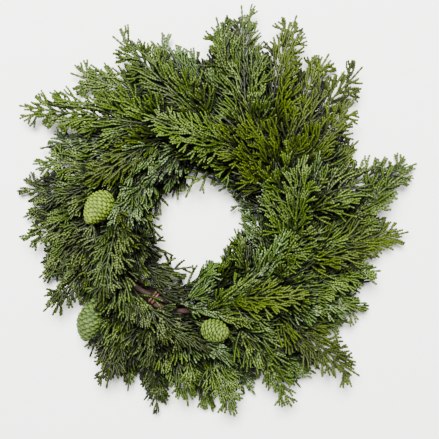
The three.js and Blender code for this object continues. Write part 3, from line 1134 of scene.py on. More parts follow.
def spread_sprays(angles: Sequence[float], aims: Sequence[float], reach: float,
                  heights: Sequence[float]) -> list[SprayPlace]:
    """Places sprays with their feet at angles, and takes their aims from there and their tips' heights in turn."""
    return [SprayPlace(at, at + aims[i % len(aims)], reach, heights[i % len(heights)]) for i, at in enumerate(angles)]


FRONT_AT = (20, 65, 108, 166, 212, 276, 308, 342)
OUTER_SPRAYS = [SprayPlace(*row) for row in (
    (102, 168, 236, 32), (86, 154, 217, 16), (78, 136, 207, 40), (69, 128, 188, 14), (61, 102, 187, 34),
    (53, 95, 214, 22), (45, 78, 211, 38), (38, 64, 187, 14), (30, 54, 199, 32), (21, 54, 160, 52),
    (11, 44, 136, 20), (2, 25, 200, 14), (341, 34, 196, 38), (334, 14, 186, 18), (322, 5, 150, 36),
    (312, -10, 154, 14), (303, -35, 186, 30), (294, -38, 145, 14), (284, -54, 162, 34), (273, -60, 132, 14),
    (263, -67, 153, 36), (253, -71, 153, 12), (244, -76, 142, 36), (226, -82, 156, 14), (215, -102, 156, 38),
    (205, -110, 140, 14), (189, -135, 138, 36), (178, -152, 118, 12), (166, -160, 138, 36), (153, -178, 152, 12),
    (140, 175, 138, 34), (126, 170, 128, 14),
)]


@dataclass
class Growth:
    """The seeded rule by which the sprays of the solids grow."""

    aim_spread: float = 16.0
    roll_spread: float = 50.0
    lifts: tuple[float, ...] = (0, 4, 8, 12, 16, 20)
    slides: tuple[float, ...] = (0, 1.5, -1.5, 3, -3, 4.5, -4.5, 6, -6)
    foot_half_width: float = 1.45
    stem_half_width: float = 1.8
    twig_half_width: float = 1.85
    clearance: float = 0.6
    floor_clearance: float = 1.2
    hole_radius: float = 46.0
    hole_centre: tuple[float, float] = (-8.0, -2.0)
    bare_steps: int = 1
    branch_length: float = 20.0
    branch_share: float = 0.25
    tip_share: float = 0.4
    shortest_branch: float = 16.0
    longest_branch: float = 62.0
    branch_angle: float = 36.0
    branch_neck: float = 9.0
    side_at: float = 0.72
    twig_step: float = 11.0
    twigged: float = 0.76
    most_twigs: int = 2
    twig_angle: float = 34.0
    twig_share: float = 0.5
    shortest_twig: float = 13.0
    spread: float = 0.15
    bends: tuple[float, ...] = (0, 9, -9, 18, -18)
    shorter: tuple[float, ...] = (1, 0.75, 0.55)
    kinds: dict[str, tuple[SprayKind, list[SprayPlace]]] = field(default_factory=lambda: {
        "outer": (SprayKind(15, -0.1, 16), OUTER_SPRAYS),
        "inner": (SprayKind(165, 0, 12), spread_sprays(evenly(12, 4), [153], 92, [12, 26, 40])),
        "front": (SprayKind(88, -0.25, 15), spread_sprays(FRONT_AT, [98], 132, [60, 72])),
    })
    cores: list[Core] = field(default_factory=list)
    placed: Placed = field(default_factory=Placed)
    first_side: int = 1000
    sides: int = 0

    def grow(self) -> list[Stem]:
        """Grows all sprays.

        Returns:
            Their stems, with branches and twigs.
        """
        stems: list[Stem] = []
        for kind_name, (kind, places) in self.kinds.items():
            for i, place in enumerate(places, 1):
                stems.append(self._stem(f"spray_{kind_name}_{i}", kind, place, len(stems) + 1))
        first = BUNDLE.foot_steps + 1 + self.bare_steps
        for step in range(first, max(len(stem.frames) for stem in stems)):
            for stem in stems:
                if step < len(stem.frames) - 1:
                    self._branch(stem, step)
        for stem in stems:
            for branch in stem.branches:
                self._twigs(stem, branch)
        return stems

    def _varied(self, draw: Draws) -> float:
        """Draws a factor near 1."""
        return 1 + self.spread * (2 * draw() - 1)

    def _stem(self, name: str, kind: SprayKind, place: SprayPlace, number: int) -> Stem:
        """Grows one stem, slid and raised until it is clear of the others.

        Args:
            name: The solid's name.
            kind: How its kind grows.
            place: Where it grows.
            number: Its number, and the seed of its draws.

        Returns:
            The stem.
        """
        draw = Draws(number)
        bend = math.radians(place.aim + self.aim_spread * (draw() - 0.5))
        tip_way = unit(np.array((math.cos(bend), math.sin(bend), kind.droop)))
        roll = self.roll_spread * (draw() - 0.5)
        aim = math.radians(place.aim)
        tip = BUNDLE.at(place.at, 0, 0) + place.reach * np.array((math.cos(aim), math.sin(aim), 0))
        for lift in self.lifts:
            for slide in self.slides:
                tip[2] = place.height + lift
                path = BUNDLE.stem_path(place.at + slide, kind.phase, tip, tip_way, kind.step)
                pieces = [
                    (a, b, self.foot_half_width if i < BUNDLE.foot_steps else self.stem_half_width)
                    for i, (a, b) in enumerate(zip(path[:-1], path[1:]))
                ]
                if all(self.placed.is_clear(*piece, self.clearance) for piece in pieces):
                    for piece in pieces:
                        self.placed.add(*piece, number)
                    return Stem(name, number, place.reach, draw, self.frames(path, roll))
        raise ValueError(name + " has no clear way out of the ring")

    @staticmethod
    def frames(path: Array, roll: float) -> list[Axes]:
        """Finds the directions at each point of a path, which turn as little as they can.

        Args:
            path: The points, n by 3.
            roll: How far the left side is turned from level at the last one.

        Returns:
            The points with their directions.
        """
        frames: list[Axes] = []
        left = None
        last = len(path) - 1
        for i in range(last, -1, -1):
            way = unit(path[min(i + 1, last)] - path[max(i - 1, 0)])
            if left is None:
                left = turned(unit(np.cross(UP, way)), way, roll)
            left = unit(left - way * (left @ way))
            frames.insert(0, Axes(path[i], way, left, np.cross(way, left)))
        return frames

    def in_bounds(self, start: Array, end: Array, radius: float) -> bool:
        """Tests that a piece is clear of the surface below, the vine, the hole and the view of the cones.

        Args:
            start: One end of its middle line.
            end: The other end.
            radius: Its radius.

        Returns:
            Whether it is.
        """
        points = start + (end - start) * TEST_SHARES
        from_hole = np.hypot(points[:, 0] - self.hole_centre[0], points[:, 1] - self.hole_centre[1])
        return bool(
            (points[:, 2] >= self.floor_clearance + radius).all()
            and (BUNDLE.offset_of(points) >= BUNDLE.tendril_offset + BUNDLE.tendril_radius + radius).all()
            and (from_hole >= self.hole_radius + radius).all()
            and not any(core.hidden_by(points, radius) for core in self.cores)
        )

    def _side(self, parent: int, axes: Axes, leftward: bool, angle: float, length: float, shortest: float,
              step: int) -> Side | None:
        """Grows a side shoot, bent or shortened until it is clear of all but its parent.

        Args:
            parent: The number of the shoot that it grows from.
            axes: Where it grows from.
            leftward: The side that it grows to.
            angle: How far it turns from its parent's way.
            length: How long it is at most.
            shortest: How long it is at least.
            step: Its place on its parent.

        Returns:
            The side shoot, or None where there is no room.
        """
        level = turned(axes.way, axes.up, angle if leftward else -angle)
        left = np.cross(axes.up, level)
        for share in self.shorter:
            for bend in self.bends:
                if length * share < shortest:
                    continue
                way = turned(level, left, -bend)
                start = axes.at + way * self.branch_neck / 2
                end = axes.at + way * length * share
                if not self.in_bounds(start, end, self.twig_half_width):
                    continue
                if not self.placed.is_clear(start, end, self.twig_half_width, self.clearance, parent):
                    continue
                self.sides += 1
                number = self.first_side + self.sides
                self.placed.add(start, end, self.twig_half_width, number)
                return Side(Axes(axes.at, way, left, np.cross(way, left)), length * share, leftward, number, step, [])
        return None

    def branch_axes(self, stem: Stem, step: int) -> Axes:
        """Finds where a step's branch leaves the stem."""
        before = stem.frames[step - 1]
        return before._replace(at=mixed(before.at, stem.frames[step].at, self.side_at))

    def branch_reach(self, stem: Stem, step: float) -> float:
        """Finds how long a branch at a step would be, before it varies."""
        share = (step - BUNDLE.foot_steps) / (len(stem.frames) - 1 - BUNDLE.foot_steps)
        return (self.branch_length + self.branch_share * stem.reach) * mixed(1, self.tip_share, share)

    def _branch(self, stem: Stem, step: int) -> None:
        """Grows the branch of one step, left and right in turn.

        Args:
            stem: What it grows from.
            step: Its place on the stem.
        """
        wanted = self.branch_reach(stem, step) * self._varied(stem.draw)
        length = min(max(wanted, self.shortest_branch), self.longest_branch)
        angle = self.branch_angle * self._varied(stem.draw)
        branch = self._side(stem.number, self.branch_axes(stem, step), step % 2 == 0, angle, length,
                            self.shortest_branch, step)
        if branch:
            stem.branches.append(branch)

    def _twigs(self, stem: Stem, branch: Side) -> None:
        """Grows the twigs of a branch, to its two sides in turn.

        Args:
            stem: The stem, for its draws.
            branch: What they grow from.
        """
        twigged = self.twigged * branch.length - self.branch_neck
        count = min(self.most_twigs, math.floor(twigged / self.twig_step))
        for step in range(1, count + 1):
            distance = self.branch_neck + (step - 1 + self.side_at) * twigged / count
            wanted = self.twig_share * (branch.length - distance) * self._varied(stem.draw)
            leftward = branch.leftward == (step % 2 == 1)
            angle = self.twig_angle * self._varied(stem.draw)
            axes = branch.axes._replace(at=branch.axes.at + branch.axes.way * distance)
            twig = self._side(branch.number, axes, leftward, angle, max(self.shortest_twig, wanted),
                              self.shortest_twig, step)
            if twig:
                branch.twigs.append((distance, twig))


@dataclass(frozen=True)
class Sprouting:
    """How side shoots follow one another along a shoot that the solids leave bare.

    Their places are counted from the shoot's foot, and their lengths come from what is left of it beyond them.
    """

    pitch: float
    first: float
    until: float
    angle: float
    share: float
    extra: float
    longest: float
    shortest: float
    form: Form
    first_share: float = 0.0

    USUAL = 0.9
    VARIES = 0.2

    def next_step(self, draw: Draws) -> float:
        """Draws the distance to the next side shoot."""
        return self.pitch * draw.around(1, self.VARIES)

    def length(self, left_over: float, draw: Draws) -> float:
        """Draws a length where so much of the shoot is left."""
        return min(self.share * left_over + self.extra, self.longest) * draw.around(self.USUAL, self.VARIES)


@dataclass(frozen=True)
class Fill:
    """Shorter sprays of one kind, which no solid stands for. They close the gaps between the others."""

    name: str
    kind: SprayKind
    places: Sequence[SprayPlace]

    AT_VARIES = 2.0
    AIM_VARIES = 7.0
    REACH_VARIES = 0.12
    HEIGHT_VARIES = 4.0
    BEND = 6.0
    BEND_VARIES = 10.0
    ROLL_VARIES = 42.0

    def stems(self, seed: int) -> list[Stem]:
        """Grows the stems, each a little off its place.

        Args:
            seed: The number of the first one.

        Returns:
            The stems, without branches.
        """
        stems = []
        for i, place in enumerate(self.places):
            draw = Draws(seed + i)
            at = draw.around(place.at, self.AT_VARIES)
            aim = math.radians(draw.around(place.aim, self.AIM_VARIES))
            reach = draw.around(place.reach, self.REACH_VARIES * place.reach)
            tip = BUNDLE.at(at, 0, 0) + reach * np.array((math.cos(aim), math.sin(aim), 0))
            tip[2] = draw.around(place.height, self.HEIGHT_VARIES)
            bend = aim + math.radians(draw.around(self.BEND, self.BEND_VARIES))
            tip_way = unit(np.array((math.cos(bend), math.sin(bend), self.kind.droop)))
            path = BUNDLE.stem_path(at, self.kind.phase, tip, tip_way, self.kind.step)
            frames = Growth.frames(path, draw.around(0, self.ROLL_VARIES))
            stems.append(Stem(f"{self.name}_{i + 1}", seed + i, reach, draw, frames))
        return stems


class Tone(Enum):
    """The green of a spray, by the record's slot for it."""

    GREEN = "spray_green"
    BRIGHT = "spray_bright"
    GREY = "spray_grey"


class Sector(NamedTuple):
    """A part of the ring, with the tones that its fill takes in turn, and how much lighter its leaves are."""

    start: float
    end: float
    tones: tuple[Tone, ...]
    lighter: float = 0.0


@dataclass(frozen=True)
class Room:
    """Where the finer shoots may grow: clear of the surface below, the vine, the hole and the cones."""

    growth: Growth
    cones: list["Cone"]
    floor_gap: float = 2.0
    cone_gap: float = 2.5
    hole_gap: float = 2.0
    bare_from: float = 224.0
    bare_to: float = 243.0
    bare_half_width: float = 8.0
    hole_middle: tuple[float, float] = (-9.0, 1.0)
    hole_halves: tuple[float, float] = (61.0, 76.0)
    fringe_beyond: tuple[float, float] = (-2.0, 12.0)
    drape_beyond: tuple[float, float] = (26.0, 44.0)

    def takes(self, start: Array, end: Array) -> bool:
        """Tests that there is room for a shoot.

        Args:
            start: One end of the shoot.
            end: The other end.

        Returns:
            Whether there is.
        """
        points = start + (end - start) * TEST_SHARES
        if (points[:, 2] < self.floor_gap).any() or (BUNDLE.offset_of(points) < BUNDLE.tendril_offset).any():
            return False
        if self._in_hole(points) or self._bares_vine(points):
            return False
        return not any(cone.core.holds(points, self.cone_gap) or cone.core.hidden_by(points, cone.shown)
                       for cone in self.cones)

    def _in_hole(self, points: Array) -> bool:
        """Tests whether points reach into the hole, which the fringe narrows at its lower right and upper left.

        Args:
            points: The points, n by 3.

        Returns:
            Whether one does.
        """
        level = points[:, :2]
        inside = np.linalg.norm((level - self.hole_middle) / self.hole_halves, axis=1) < 1
        fringed = ((level * (1, -1) > self.fringe_beyond).all(axis=1)
                   | (level * (-1, 1) > self.drape_beyond).all(axis=1))
        from_centre = np.linalg.norm(level - self.growth.hole_centre, axis=1)
        return bool(np.where(fringed, from_centre <= self.growth.hole_radius + self.hole_gap, inside).any())

    def _bares_vine(self, points: Array) -> bool:
        """Tests whether points stand over the stretch where the vine shows.

        Args:
            points: The points, n by 3.

        Returns:
            Whether one does.
        """
        angle = np.degrees(np.arctan2(points[:, 1], points[:, 0])) % 360
        aside = np.abs(np.hypot(points[:, 0], points[:, 1]) - BUNDLE.radius)
        return bool(((angle > self.bare_from) & (angle < self.bare_to) & (aside < self.bare_half_width)).any())


@dataclass
class Spray:
    """One leafy spray, on the stem, branches and twigs of its solid or on a stem of the fill."""

    stem: Stem
    room: Room
    lighter: float
    on_leader: Sprouting = Sprouting(pitch=15.0, first=9.0, until=0.92, angle=15, share=0.58, extra=7.5,
                                     longest=48, shortest=8, form=Form.TWIG)
    on_branch: Sprouting = Sprouting(pitch=7.9, first=7.0, until=0.84, angle=18, share=0.88, extra=6.0,
                                     longest=54, shortest=13, form=Form.TWIG)
    on_twig: Sprouting = Sprouting(pitch=13.0, first=10.0, until=0.7, angle=21, share=0.85, extra=2.5,
                                   longest=22, shortest=9, form=Form.FORK, first_share=0.5)
    taken_within: float = 0.6
    between_angle: float = 27.0
    between_share: float = 0.55
    between_extra: float = 8.0
    between_longest: float = 58.0
    leader_tip: float = 11.0
    swing_varies: float = 4.0
    bend_varies: float = 8.0
    raises: tuple[float, ...] = (0, 12, 24)
    bow: tuple[float, float] = (0.075, 0.035)
    sag_varies: float = 0.04
    solid_bow: tuple[float, float] = (0.045, 0.015)
    solid_sag_varies: float = 0.02
    first_seed: int = 7000
    tone_varies: float = 0.5
    shoot_tone_varies: float = 0.45
    solid_tone_varies: float = 0.4
    neck: float = 6.0

    def __post_init__(self) -> None:
        """Draws the spray's tone."""
        self.draw = Draws(self.first_seed + self.stem.number)
        self.tone = self.draw.around(self.lighter, self.tone_varies)

    def shoots(self) -> list[Shoot]:
        """Grows the leafy shoots.

        Returns:
            The leader, branches, twigs and forks.
        """
        points = np.array([axes.at for axes in self.stem.frames])
        lefts = np.array([axes.left for axes in self.stem.frames])
        leader = Shoot(*smoothed(points, lefts), Form.LEADER, self.tone)
        foot = (BUNDLE.foot_steps + 1) / len(points) * leader.length
        pointed = self._pointed(leader)
        shoots = [pointed, *self._from_leader(pointed, foot)]
        for branch in self.stem.branches:
            shoots += self._from_solid(branch)
        return shoots + self._between(leader)

    def _pointed(self, leader: Shoot) -> Shoot:
        """Draws a leader out to a point beyond its solid, where there is room.

        Args:
            leader: The leader.

        Returns:
            The longer leader, or the same one.
        """
        way = unit(leader.points[-1] - leader.points[-2])
        ahead = leader.points[-1] + way * self.leader_tip * np.array([[0.5], [1.0]])
        if not self.room.takes(leader.points[-1], ahead[-1]):
            return leader
        lefts = np.concatenate([leader.lefts, leader.lefts[-1:], leader.lefts[-1:]])
        return Shoot(np.concatenate([leader.points, ahead]), lefts, leader.form, leader.tint)

    def _from_leader(self, leader: Shoot, foot: float) -> list[Shoot]:
        """Grows pairs of twigs along a leader.

        Args:
            leader: What they grow from.
            foot: The length of its foot, which stays bare.

        Returns:
            The twigs with their forks.
        """
        shoots: list[Shoot] = []
        rule = self.on_leader
        distance = foot + rule.first
        while distance < rule.until * leader.length:
            for leftward in (True, False):
                length = rule.length(leader.length - distance, self.draw)
                shoots += self._sprouted(leader.axes(distance / leader.length), leftward, rule.angle, length,
                                         rule.form, self.on_twig)
            distance += rule.next_step(self.draw)
        return shoots

    def _from_solid(self, branch: Side) -> list[Shoot]:
        """Makes the leafy shoots of a solid's branch, with its twigs and the finer ones between them.

        Args:
            branch: The solid's branch.

        Returns:
            The branch, its twigs and the finer shoots.
        """
        shoots = [self._bowed(branch, Form.BRANCH)]
        for _, twig in branch.twigs:
            shoots.append(self._bowed(twig, Form.TWIG))
            shoots += self._sides(shoots[-1], self.on_twig)
        taken = [(distance, twig.leftward) for distance, twig in branch.twigs]
        return shoots + self._sides(shoots[0], self.on_branch, taken)

    def _between(self, leader: Shoot) -> list[Shoot]:
        """Grows the branches for which the solids had no room.

        Args:
            leader: The stem as a leafy shoot.

        Returns:
            The branches with their own side shoots.
        """
        shoots: list[Shoot] = []
        taken = {branch.step for branch in self.stem.branches}
        last = len(self.stem.frames) - 1
        for step in range(BUNDLE.foot_steps + 2, last + 1):
            for leftward in (True, False):
                if leftward == (step % 2 == 0) and step in taken:
                    continue
                place = step - 1 + self.room.growth.side_at
                left_over = leader.length * (last - place) / last
                usual = self.room.growth.branch_reach(self.stem, place)
                usual *= self.draw.around(Sprouting.USUAL, Sprouting.VARIES)
                length = min(usual, self.between_longest, self.between_share * left_over + self.between_extra)
                if length >= self.on_branch.shortest:
                    shoots += self._sprouted(leader.axes(place / last), leftward, self.between_angle, length,
                                             Form.BRANCH, self.on_branch)
        return shoots

    def _bowed(self, side: Side, form: Form) -> Shoot:
        """Makes the leafy shoot of a solid's side shoot.

        Args:
            side: The solid's side shoot.
            form: What it is.

        Returns:
            The leafy shoot.
        """
        bow = self.draw.around(*self.solid_bow) * (1 if side.leftward else -1)
        sag = self.draw.around(0, self.solid_sag_varies)
        tint = self.draw.around(self.tone, self.solid_tone_varies)
        return Shoot.bowed(side.axes, side.length, bow, sag, form, tint)

    def _sides(self, parent: Shoot, rule: Sprouting, taken: Sequence[tuple[float, bool]] = ()) -> list[Shoot]:
        """Grows finer side shoots along a shoot.

        Args:
            parent: What they grow from.
            rule: How they follow one another.
            taken: The distance and side of those that the solid has.

        Returns:
            The side shoots, with their own.
        """
        shoots: list[Shoot] = []
        leftward = self.draw() < 0.5
        near = self.taken_within * rule.pitch
        finer = self.on_twig if rule is self.on_branch else None
        distance = max(rule.first, rule.first_share * parent.length)
        while distance < rule.until * parent.length:
            leftward = not leftward
            if all(side != leftward or abs(at - distance) > near for at, side in taken):
                length = rule.length(parent.length - distance, self.draw)
                if length >= rule.shortest:
                    shoots += self._sprouted(parent.axes(distance / parent.length), leftward, rule.angle, length,
                                             rule.form, finer)
            distance += rule.next_step(self.draw)
        return shoots

    def _sprouted(self, axes: Axes, leftward: bool, angle: float, length: float, form: Form,
                  finer: Sprouting | None) -> list[Shoot]:
        """Grows one side shoot that no solid has, where there is room for it.

        Args:
            axes: Where it grows from.
            leftward: The side that it grows to.
            angle: How far it turns from its parent's way.
            length: How long it is.
            form: What it is.
            finer: How its own side shoots follow one another.

        Returns:
            The side shoot with its own, or none.
        """
        swing = self.draw.around(angle, self.swing_varies) * (1 if leftward else -1)
        bend = self.draw.around(0, self.bend_varies)
        bow = self.draw.around(*self.bow)
        sag = self.draw.around(0, self.sag_varies)
        level = turned(axes.way, axes.up, swing)
        left = np.cross(axes.up, level)
        for raised in self.raises:
            way = turned(level, left, -(bend + raised))
            if self.room.takes(axes.at + way * min(self.neck, 0.5 * length), axes.at + way * length):
                break
        else:
            return []
        grown = Axes(axes.at, way, left, np.cross(way, left))
        shoot = Shoot.bowed(grown, length, bow if leftward else -bow, sag, form,
                            self.draw.around(self.tone, self.shoot_tone_varies))
        return [shoot, *self._sides(shoot, finer)] if finer else [shoot]


@dataclass
class Foliage:
    """The leafy sprays: one for each of the solids, and the fill between them."""

    growth: Growth
    room: Room
    fill_seeds: int = 100
    canopy: Canopy = field(default_factory=lambda: Canopy(full=5.5))
    fills: tuple[Fill, ...] = (
        Fill("cover", SprayKind(98, -0.15, 13),
             spread_sprays(evenly(32, 258, 292), (104, 122, 92, 114), 98, (46, 58, 40, 52))),
        Fill("lining", SprayKind(152, 0, 12), spread_sprays(evenly(18, 8), (138, 124), 74, (22, 38, 30))),
        Fill("middle", SprayKind(55, -0.1, 14), spread_sprays(evenly(18, 12), (72, 84), 112, (44, 56))),
        Fill("rim", SprayKind(25, -0.1, 15), spread_sprays(evenly(18, 4), (50, 66), 118, (20, 30))),
        Fill("fringe", SprayKind(152, 0, 12), [SprayPlace(*row) for row in (
            (254, 52, 92, 30), (270, 67, 94, 44), (289, 86, 98, 40), (307, 103, 100, 46), (206, -12, 86, 24),
            (190, -21, 74, 22), (84, 238, 88, 30), (98, 252, 82, 38),
        )]),
        Fill("over", SprayKind(98, -0.15, 13), [SprayPlace(251, 0, 96, 50)]),
        Fill("gap", SprayKind(20, -0.1, 14), [SprayPlace(*row) for row in (
            (222, 268, 152, 26), (150, 199, 134, 24), (180, 219, 108, 26), (300, -11, 132, 24), (312, 0, 138, 30),
            (236, -83, 126, 24), (200, 238, 80, 22), (92, 118, 120, 26), (0, 22, 120, 30),
            (234, -87, 150, 18), (212, 262, 150, 16), (276, -33, 168, 18), (310, 2, 158, 16), (168, 226, 142, 16),
            (184, 240, 122, 16), (2, 55, 146, 16), (62, 113, 144, 16), (270, -52, 96, 20),
            (318, -8, 140, 26), (162, 217, 138, 24), (290, -44, 134, 22), (220, 266, 140, 20), (243, -38, 78, 22),
            (262, -22, 80, 20), (280, -36, 150, 24), (232, -82, 150, 18), (218, 265, 146, 18), (172, 226, 132, 20),
            (148, 200, 146, 18), (120, 172, 150, 18), (297, -12, 150, 18), (338, 24, 164, 22), (60, 112, 150, 18),
            (4, 58, 146, 18), (224, -90, 142, 20), (8, 53, 143, 20), (59, 114, 153, 20), (342, 22, 157, 18),
            (309, -3, 152, 20), (323, 10, 154, 20), (92, 139, 157, 20), (211, -95, 159, 18),
        )]),
    )
    sectors: tuple[Sector, ...] = (
        Sector(8, 72, (Tone.BRIGHT, Tone.BRIGHT, Tone.GREEN)),
        Sector(72, 140, (Tone.GREEN, Tone.GREY), -0.2),
        Sector(140, 235, (Tone.GREEN, Tone.GREEN, Tone.BRIGHT), -1.15),
        Sector(235, 285, (Tone.GREY, Tone.GREEN, Tone.GREEN), -0.1),
        Sector(0, 360, (Tone.GREEN, Tone.GREEN, Tone.GREY)),
    )
    finishes: dict[Tone, LeafFinish] = field(default_factory=lambda: {
        Tone.GREEN: LeafFinish("green scale leaves", 0x060A01, 0x1A2904, 0x557013, 0x90A55C, 0.35),
        Tone.BRIGHT: LeafFinish("yellow-green scale leaves", 0x070B01, 0x202E00, 0x516502, 0x7C8A28, 0.15),
        Tone.GREY: LeafFinish("grey-green scale leaves", 0x070C03, 0x1C2F0A, 0x567229, 0x97AA7E, 0.5),
    })

    def __post_init__(self) -> None:
        """Makes the materials."""
        self.materials = {tone: finish.material() for tone, finish in self.finishes.items()}

    def build(self) -> None:
        """Grows the sprays and makes a piece of each."""
        slots = {part["node"]: part["material_slot"] for part in frame["record"]["subparts"]}
        sprays = [(stem.name, Tone(slots[stem.name]), [stem.name], self._shoots(stem)) for stem in self.growth.grow()]
        for number, fill in enumerate(self.fills, 1):
            for i, stem in enumerate(fill.stems(self.fill_seeds * number)):
                tones = self._sector(stem).tones
                sprays.append((stem.name, tones[i % len(tones)], [], self._shoots(stem)))
        for *_, shoots in sprays:
            for shoot in shoots:
                self.canopy.add(shoot)
        self.canopy.settle()
        for name, tone, replaced, shoots in sprays:
            surface = Surface()
            for shoot in shoots:
                shoot.dress(surface, self.canopy)
            surface.piece("leafy_" + name, self.materials[tone], tone.value, replaced)

    def _sector(self, stem: Stem) -> Sector:
        """Finds the sector that a stem's foot is in.

        Args:
            stem: The stem.

        Returns:
            The first sector that holds it.
        """
        foot = stem.frames[0].at
        angle = math.degrees(math.atan2(foot[1], foot[0])) % 360
        return next(sector for sector in self.sectors if sector.start <= angle <= sector.end)

    def _shoots(self, stem: Stem) -> list[Shoot]:
        """Grows the leafy shoots of a stem's spray."""
        return Spray(stem, self.room, self._sector(stem).lighter).shoots()


# Cones


@dataclass
class Cone:
    """A closed green cone of spiral scales, on the stalk that carries it."""

    name: str
    at: float
    centre: tuple[float, float, float]
    points: tuple[float, float, float]
    phase: float
    length: float
    radius: float
    neck: float = 0.0
    shoulder: float = 9.0
    shown: float = 3.0
    scale_size: float = 6.1
    scale_halves: tuple[float, float] = (1.0, 0.82)
    rise: float = 0.9
    tilt: float = 3.2
    least_tilt: float = 0.35
    sunk: float = 2.0
    egg: float = 0.8
    fullness: float = 0.62
    neck_tip: float = 1.8
    neck_base: float = 0.86
    neck_curve: float = 1.5
    around: int = 124
    along: int = 92
    pole_gap: float = 0.02
    pole_share: float = 0.06
    joint_width: float = 0.4
    lip_width: float = 0.3
    base_hidden: float = 0.4
    own_share: float = 0.55
    finish: ConeFinish = ConeFinish()
    stalk_depth: float = 6.0
    stalk_step: float = 14.0
    stalk_radius: float = 1.3
    scale_room: float = 2.4

    FAR = 9.0
    SCATTER = (12.9898, 43758.5453)

    def __post_init__(self) -> None:
        """Finds the cone's own directions."""
        self.axis = unit(np.array(self.points))
        self.side = unit(np.cross(UP, self.axis))
        self.normal = np.cross(self.axis, self.side)
        self.middle = np.array(self.centre)
        self.foot = self.middle - self.axis * self.length / 2
        half = self.axis * (self.length / 2 - self.radius)
        self.core = Core(self.middle - half, self.middle + half, self.radius)

    def outline(self, height: Array) -> Array:
        """Finds the radius at heights over the cone's foot.

        Args:
            height: The heights, which are below 0 on its neck.

        Returns:
            The radii.
        """
        share = np.clip(height / self.length, 0, 1)
        body = self.radius * np.maximum(np.sin(np.pi * share**self.egg), 0) ** self.fullness
        if not self.neck:
            return body
        up = np.clip((height + self.neck) / (self.neck + self.shoulder), 0, 1)
        neck = mixed(self.neck_tip, self.neck_base * self.radius, up**self.neck_curve)
        return np.maximum(body, neck * (height < self.shoulder))

    def stalk_path(self) -> Array:
        """Routes the stalk from between the strands of vine into the cone."""
        end = self.middle + self.axis * (self.stalk_depth - self.length / 2)
        return BUNDLE.stem_path(self.at, self.phase, end, self.axis, self.stalk_step)

    def place(self, placed: Placed) -> None:
        """Puts the cone and its stalk in place for the sprays to avoid."""
        placed.add_path(self.stalk_path(), self.stalk_radius)
        placed.add(self.core.start, self.core.end, self.radius + self.scale_room)

    def build(self, leaves: bpy.types.Material, canopy: Canopy) -> None:
        """Makes the cone and its leafy stalk.

        Args:
            leaves: The finish of the stalk.
            canopy: The foliage that shades the stalk.
        """
        self._body().piece(f"scaly_cone_{self.name}", self.finish.material(), "cone_scales", [f"cone_{self.name}"])
        stalk = Surface()
        path = self.stalk_path()
        lefts = np.repeat(self.side[None], len(path), axis=0)
        Shoot(*smoothed(path, lefts), Form.LEADER, 0.0).dress(stalk, canopy)
        stalk.piece(f"stalk_{self.name}", leaves, Tone.GREEN.value)

    def _scale_arcs(self, profile: Array, arc: Array) -> Array:
        """Spreads the scales so that each covers the same area.

        Args:
            profile: The radius at each ring.
            arc: The distance to each ring along the outline.

        Returns:
            The distance to each scale along the outline, up the spiral.
        """
        area = np.concatenate([[0], np.cumsum((profile[1:] + profile[:-1]) / 2 * np.diff(arc))])
        count = rounded(2 * np.pi * area[-1] / self.scale_size**2)
        return np.interp((np.arange(count) + 0.5) / count * area[-1], area, arc)

    def _body(self) -> Surface:
        """Makes the cone's overlapping scales. Each spot shows the lowest on the spiral of those that reach it.

        Returns:
            The surface.
        """
        share = (1 - np.cos(np.linspace(self.pole_gap, np.pi - self.pole_gap, self.along))) / 2
        heights = share * (self.length + self.neck) - self.neck
        profile = self.outline(heights)
        arc = np.concatenate([[0], np.cumsum(np.hypot(np.diff(heights), np.diff(profile)))])
        scale_arc = self._scale_arcs(profile, arc)
        numbers = np.arange(len(scale_arc))
        turn = 2 * np.pi * np.arange(self.around) / self.around
        ring, spoke = (grid.ravel() for grid in np.meshgrid(np.arange(self.along), turn, indexing="ij"))
        apart = (spoke[:, None] - numbers * GOLDEN_TURN + np.pi) % (2 * np.pi) - np.pi
        radius = profile[ring]
        half_width, half_length = (self.scale_size * half for half in self.scale_halves)
        ahead = (arc[ring][:, None] - scale_arc) / half_length
        far = np.hypot(ahead, apart * radius[:, None] / half_width)
        reached = far < 1
        scale = np.where(reached.any(axis=1), reached.argmax(axis=1), far.argmin(axis=1))
        rows = np.arange(len(far))
        # How far each spot lies past the lip of a lower scale: the finish paints shade in that crevice, and the lip
        # rises by it.
        past_lip = np.where(numbers < scale[:, None], far, self.FAR).min(axis=1) - 1
        joint = np.clip(past_lip / self.joint_width, 0, 1)
        tipward = np.clip((ahead[rows, scale] + self.base_hidden) / (1 + self.base_hidden), 0, 1)
        edge = np.sqrt(np.clip((1 - far[rows, scale]) / self.lip_width, 0, 1))
        ends = np.clip(np.minimum(share, 1 - share) / self.pole_share, 0, 1)[ring]
        relief = self.tilt * tipward * mixed(self.least_tilt, 1, edge) + self.rise * edge * joint
        out = radius + ends * (relief - self.sunk)
        spokes = self.side * np.cos(spoke)[:, None] + self.normal * np.sin(spoke)[:, None]
        corners = self.foot + self.axis * heights[ring][:, None] + spokes * out[:, None]
        turns, stretch = self.SCATTER
        scattered = (np.sin(scale * turns) * stretch) % 1.0
        own = self.own_share * scattered + (1 - self.own_share) * share[ring]
        surface = Surface()
        surface.add(corners, tube_faces(self.along, self.around), scale=np.stack([joint, tipward, own], axis=1))
        return surface


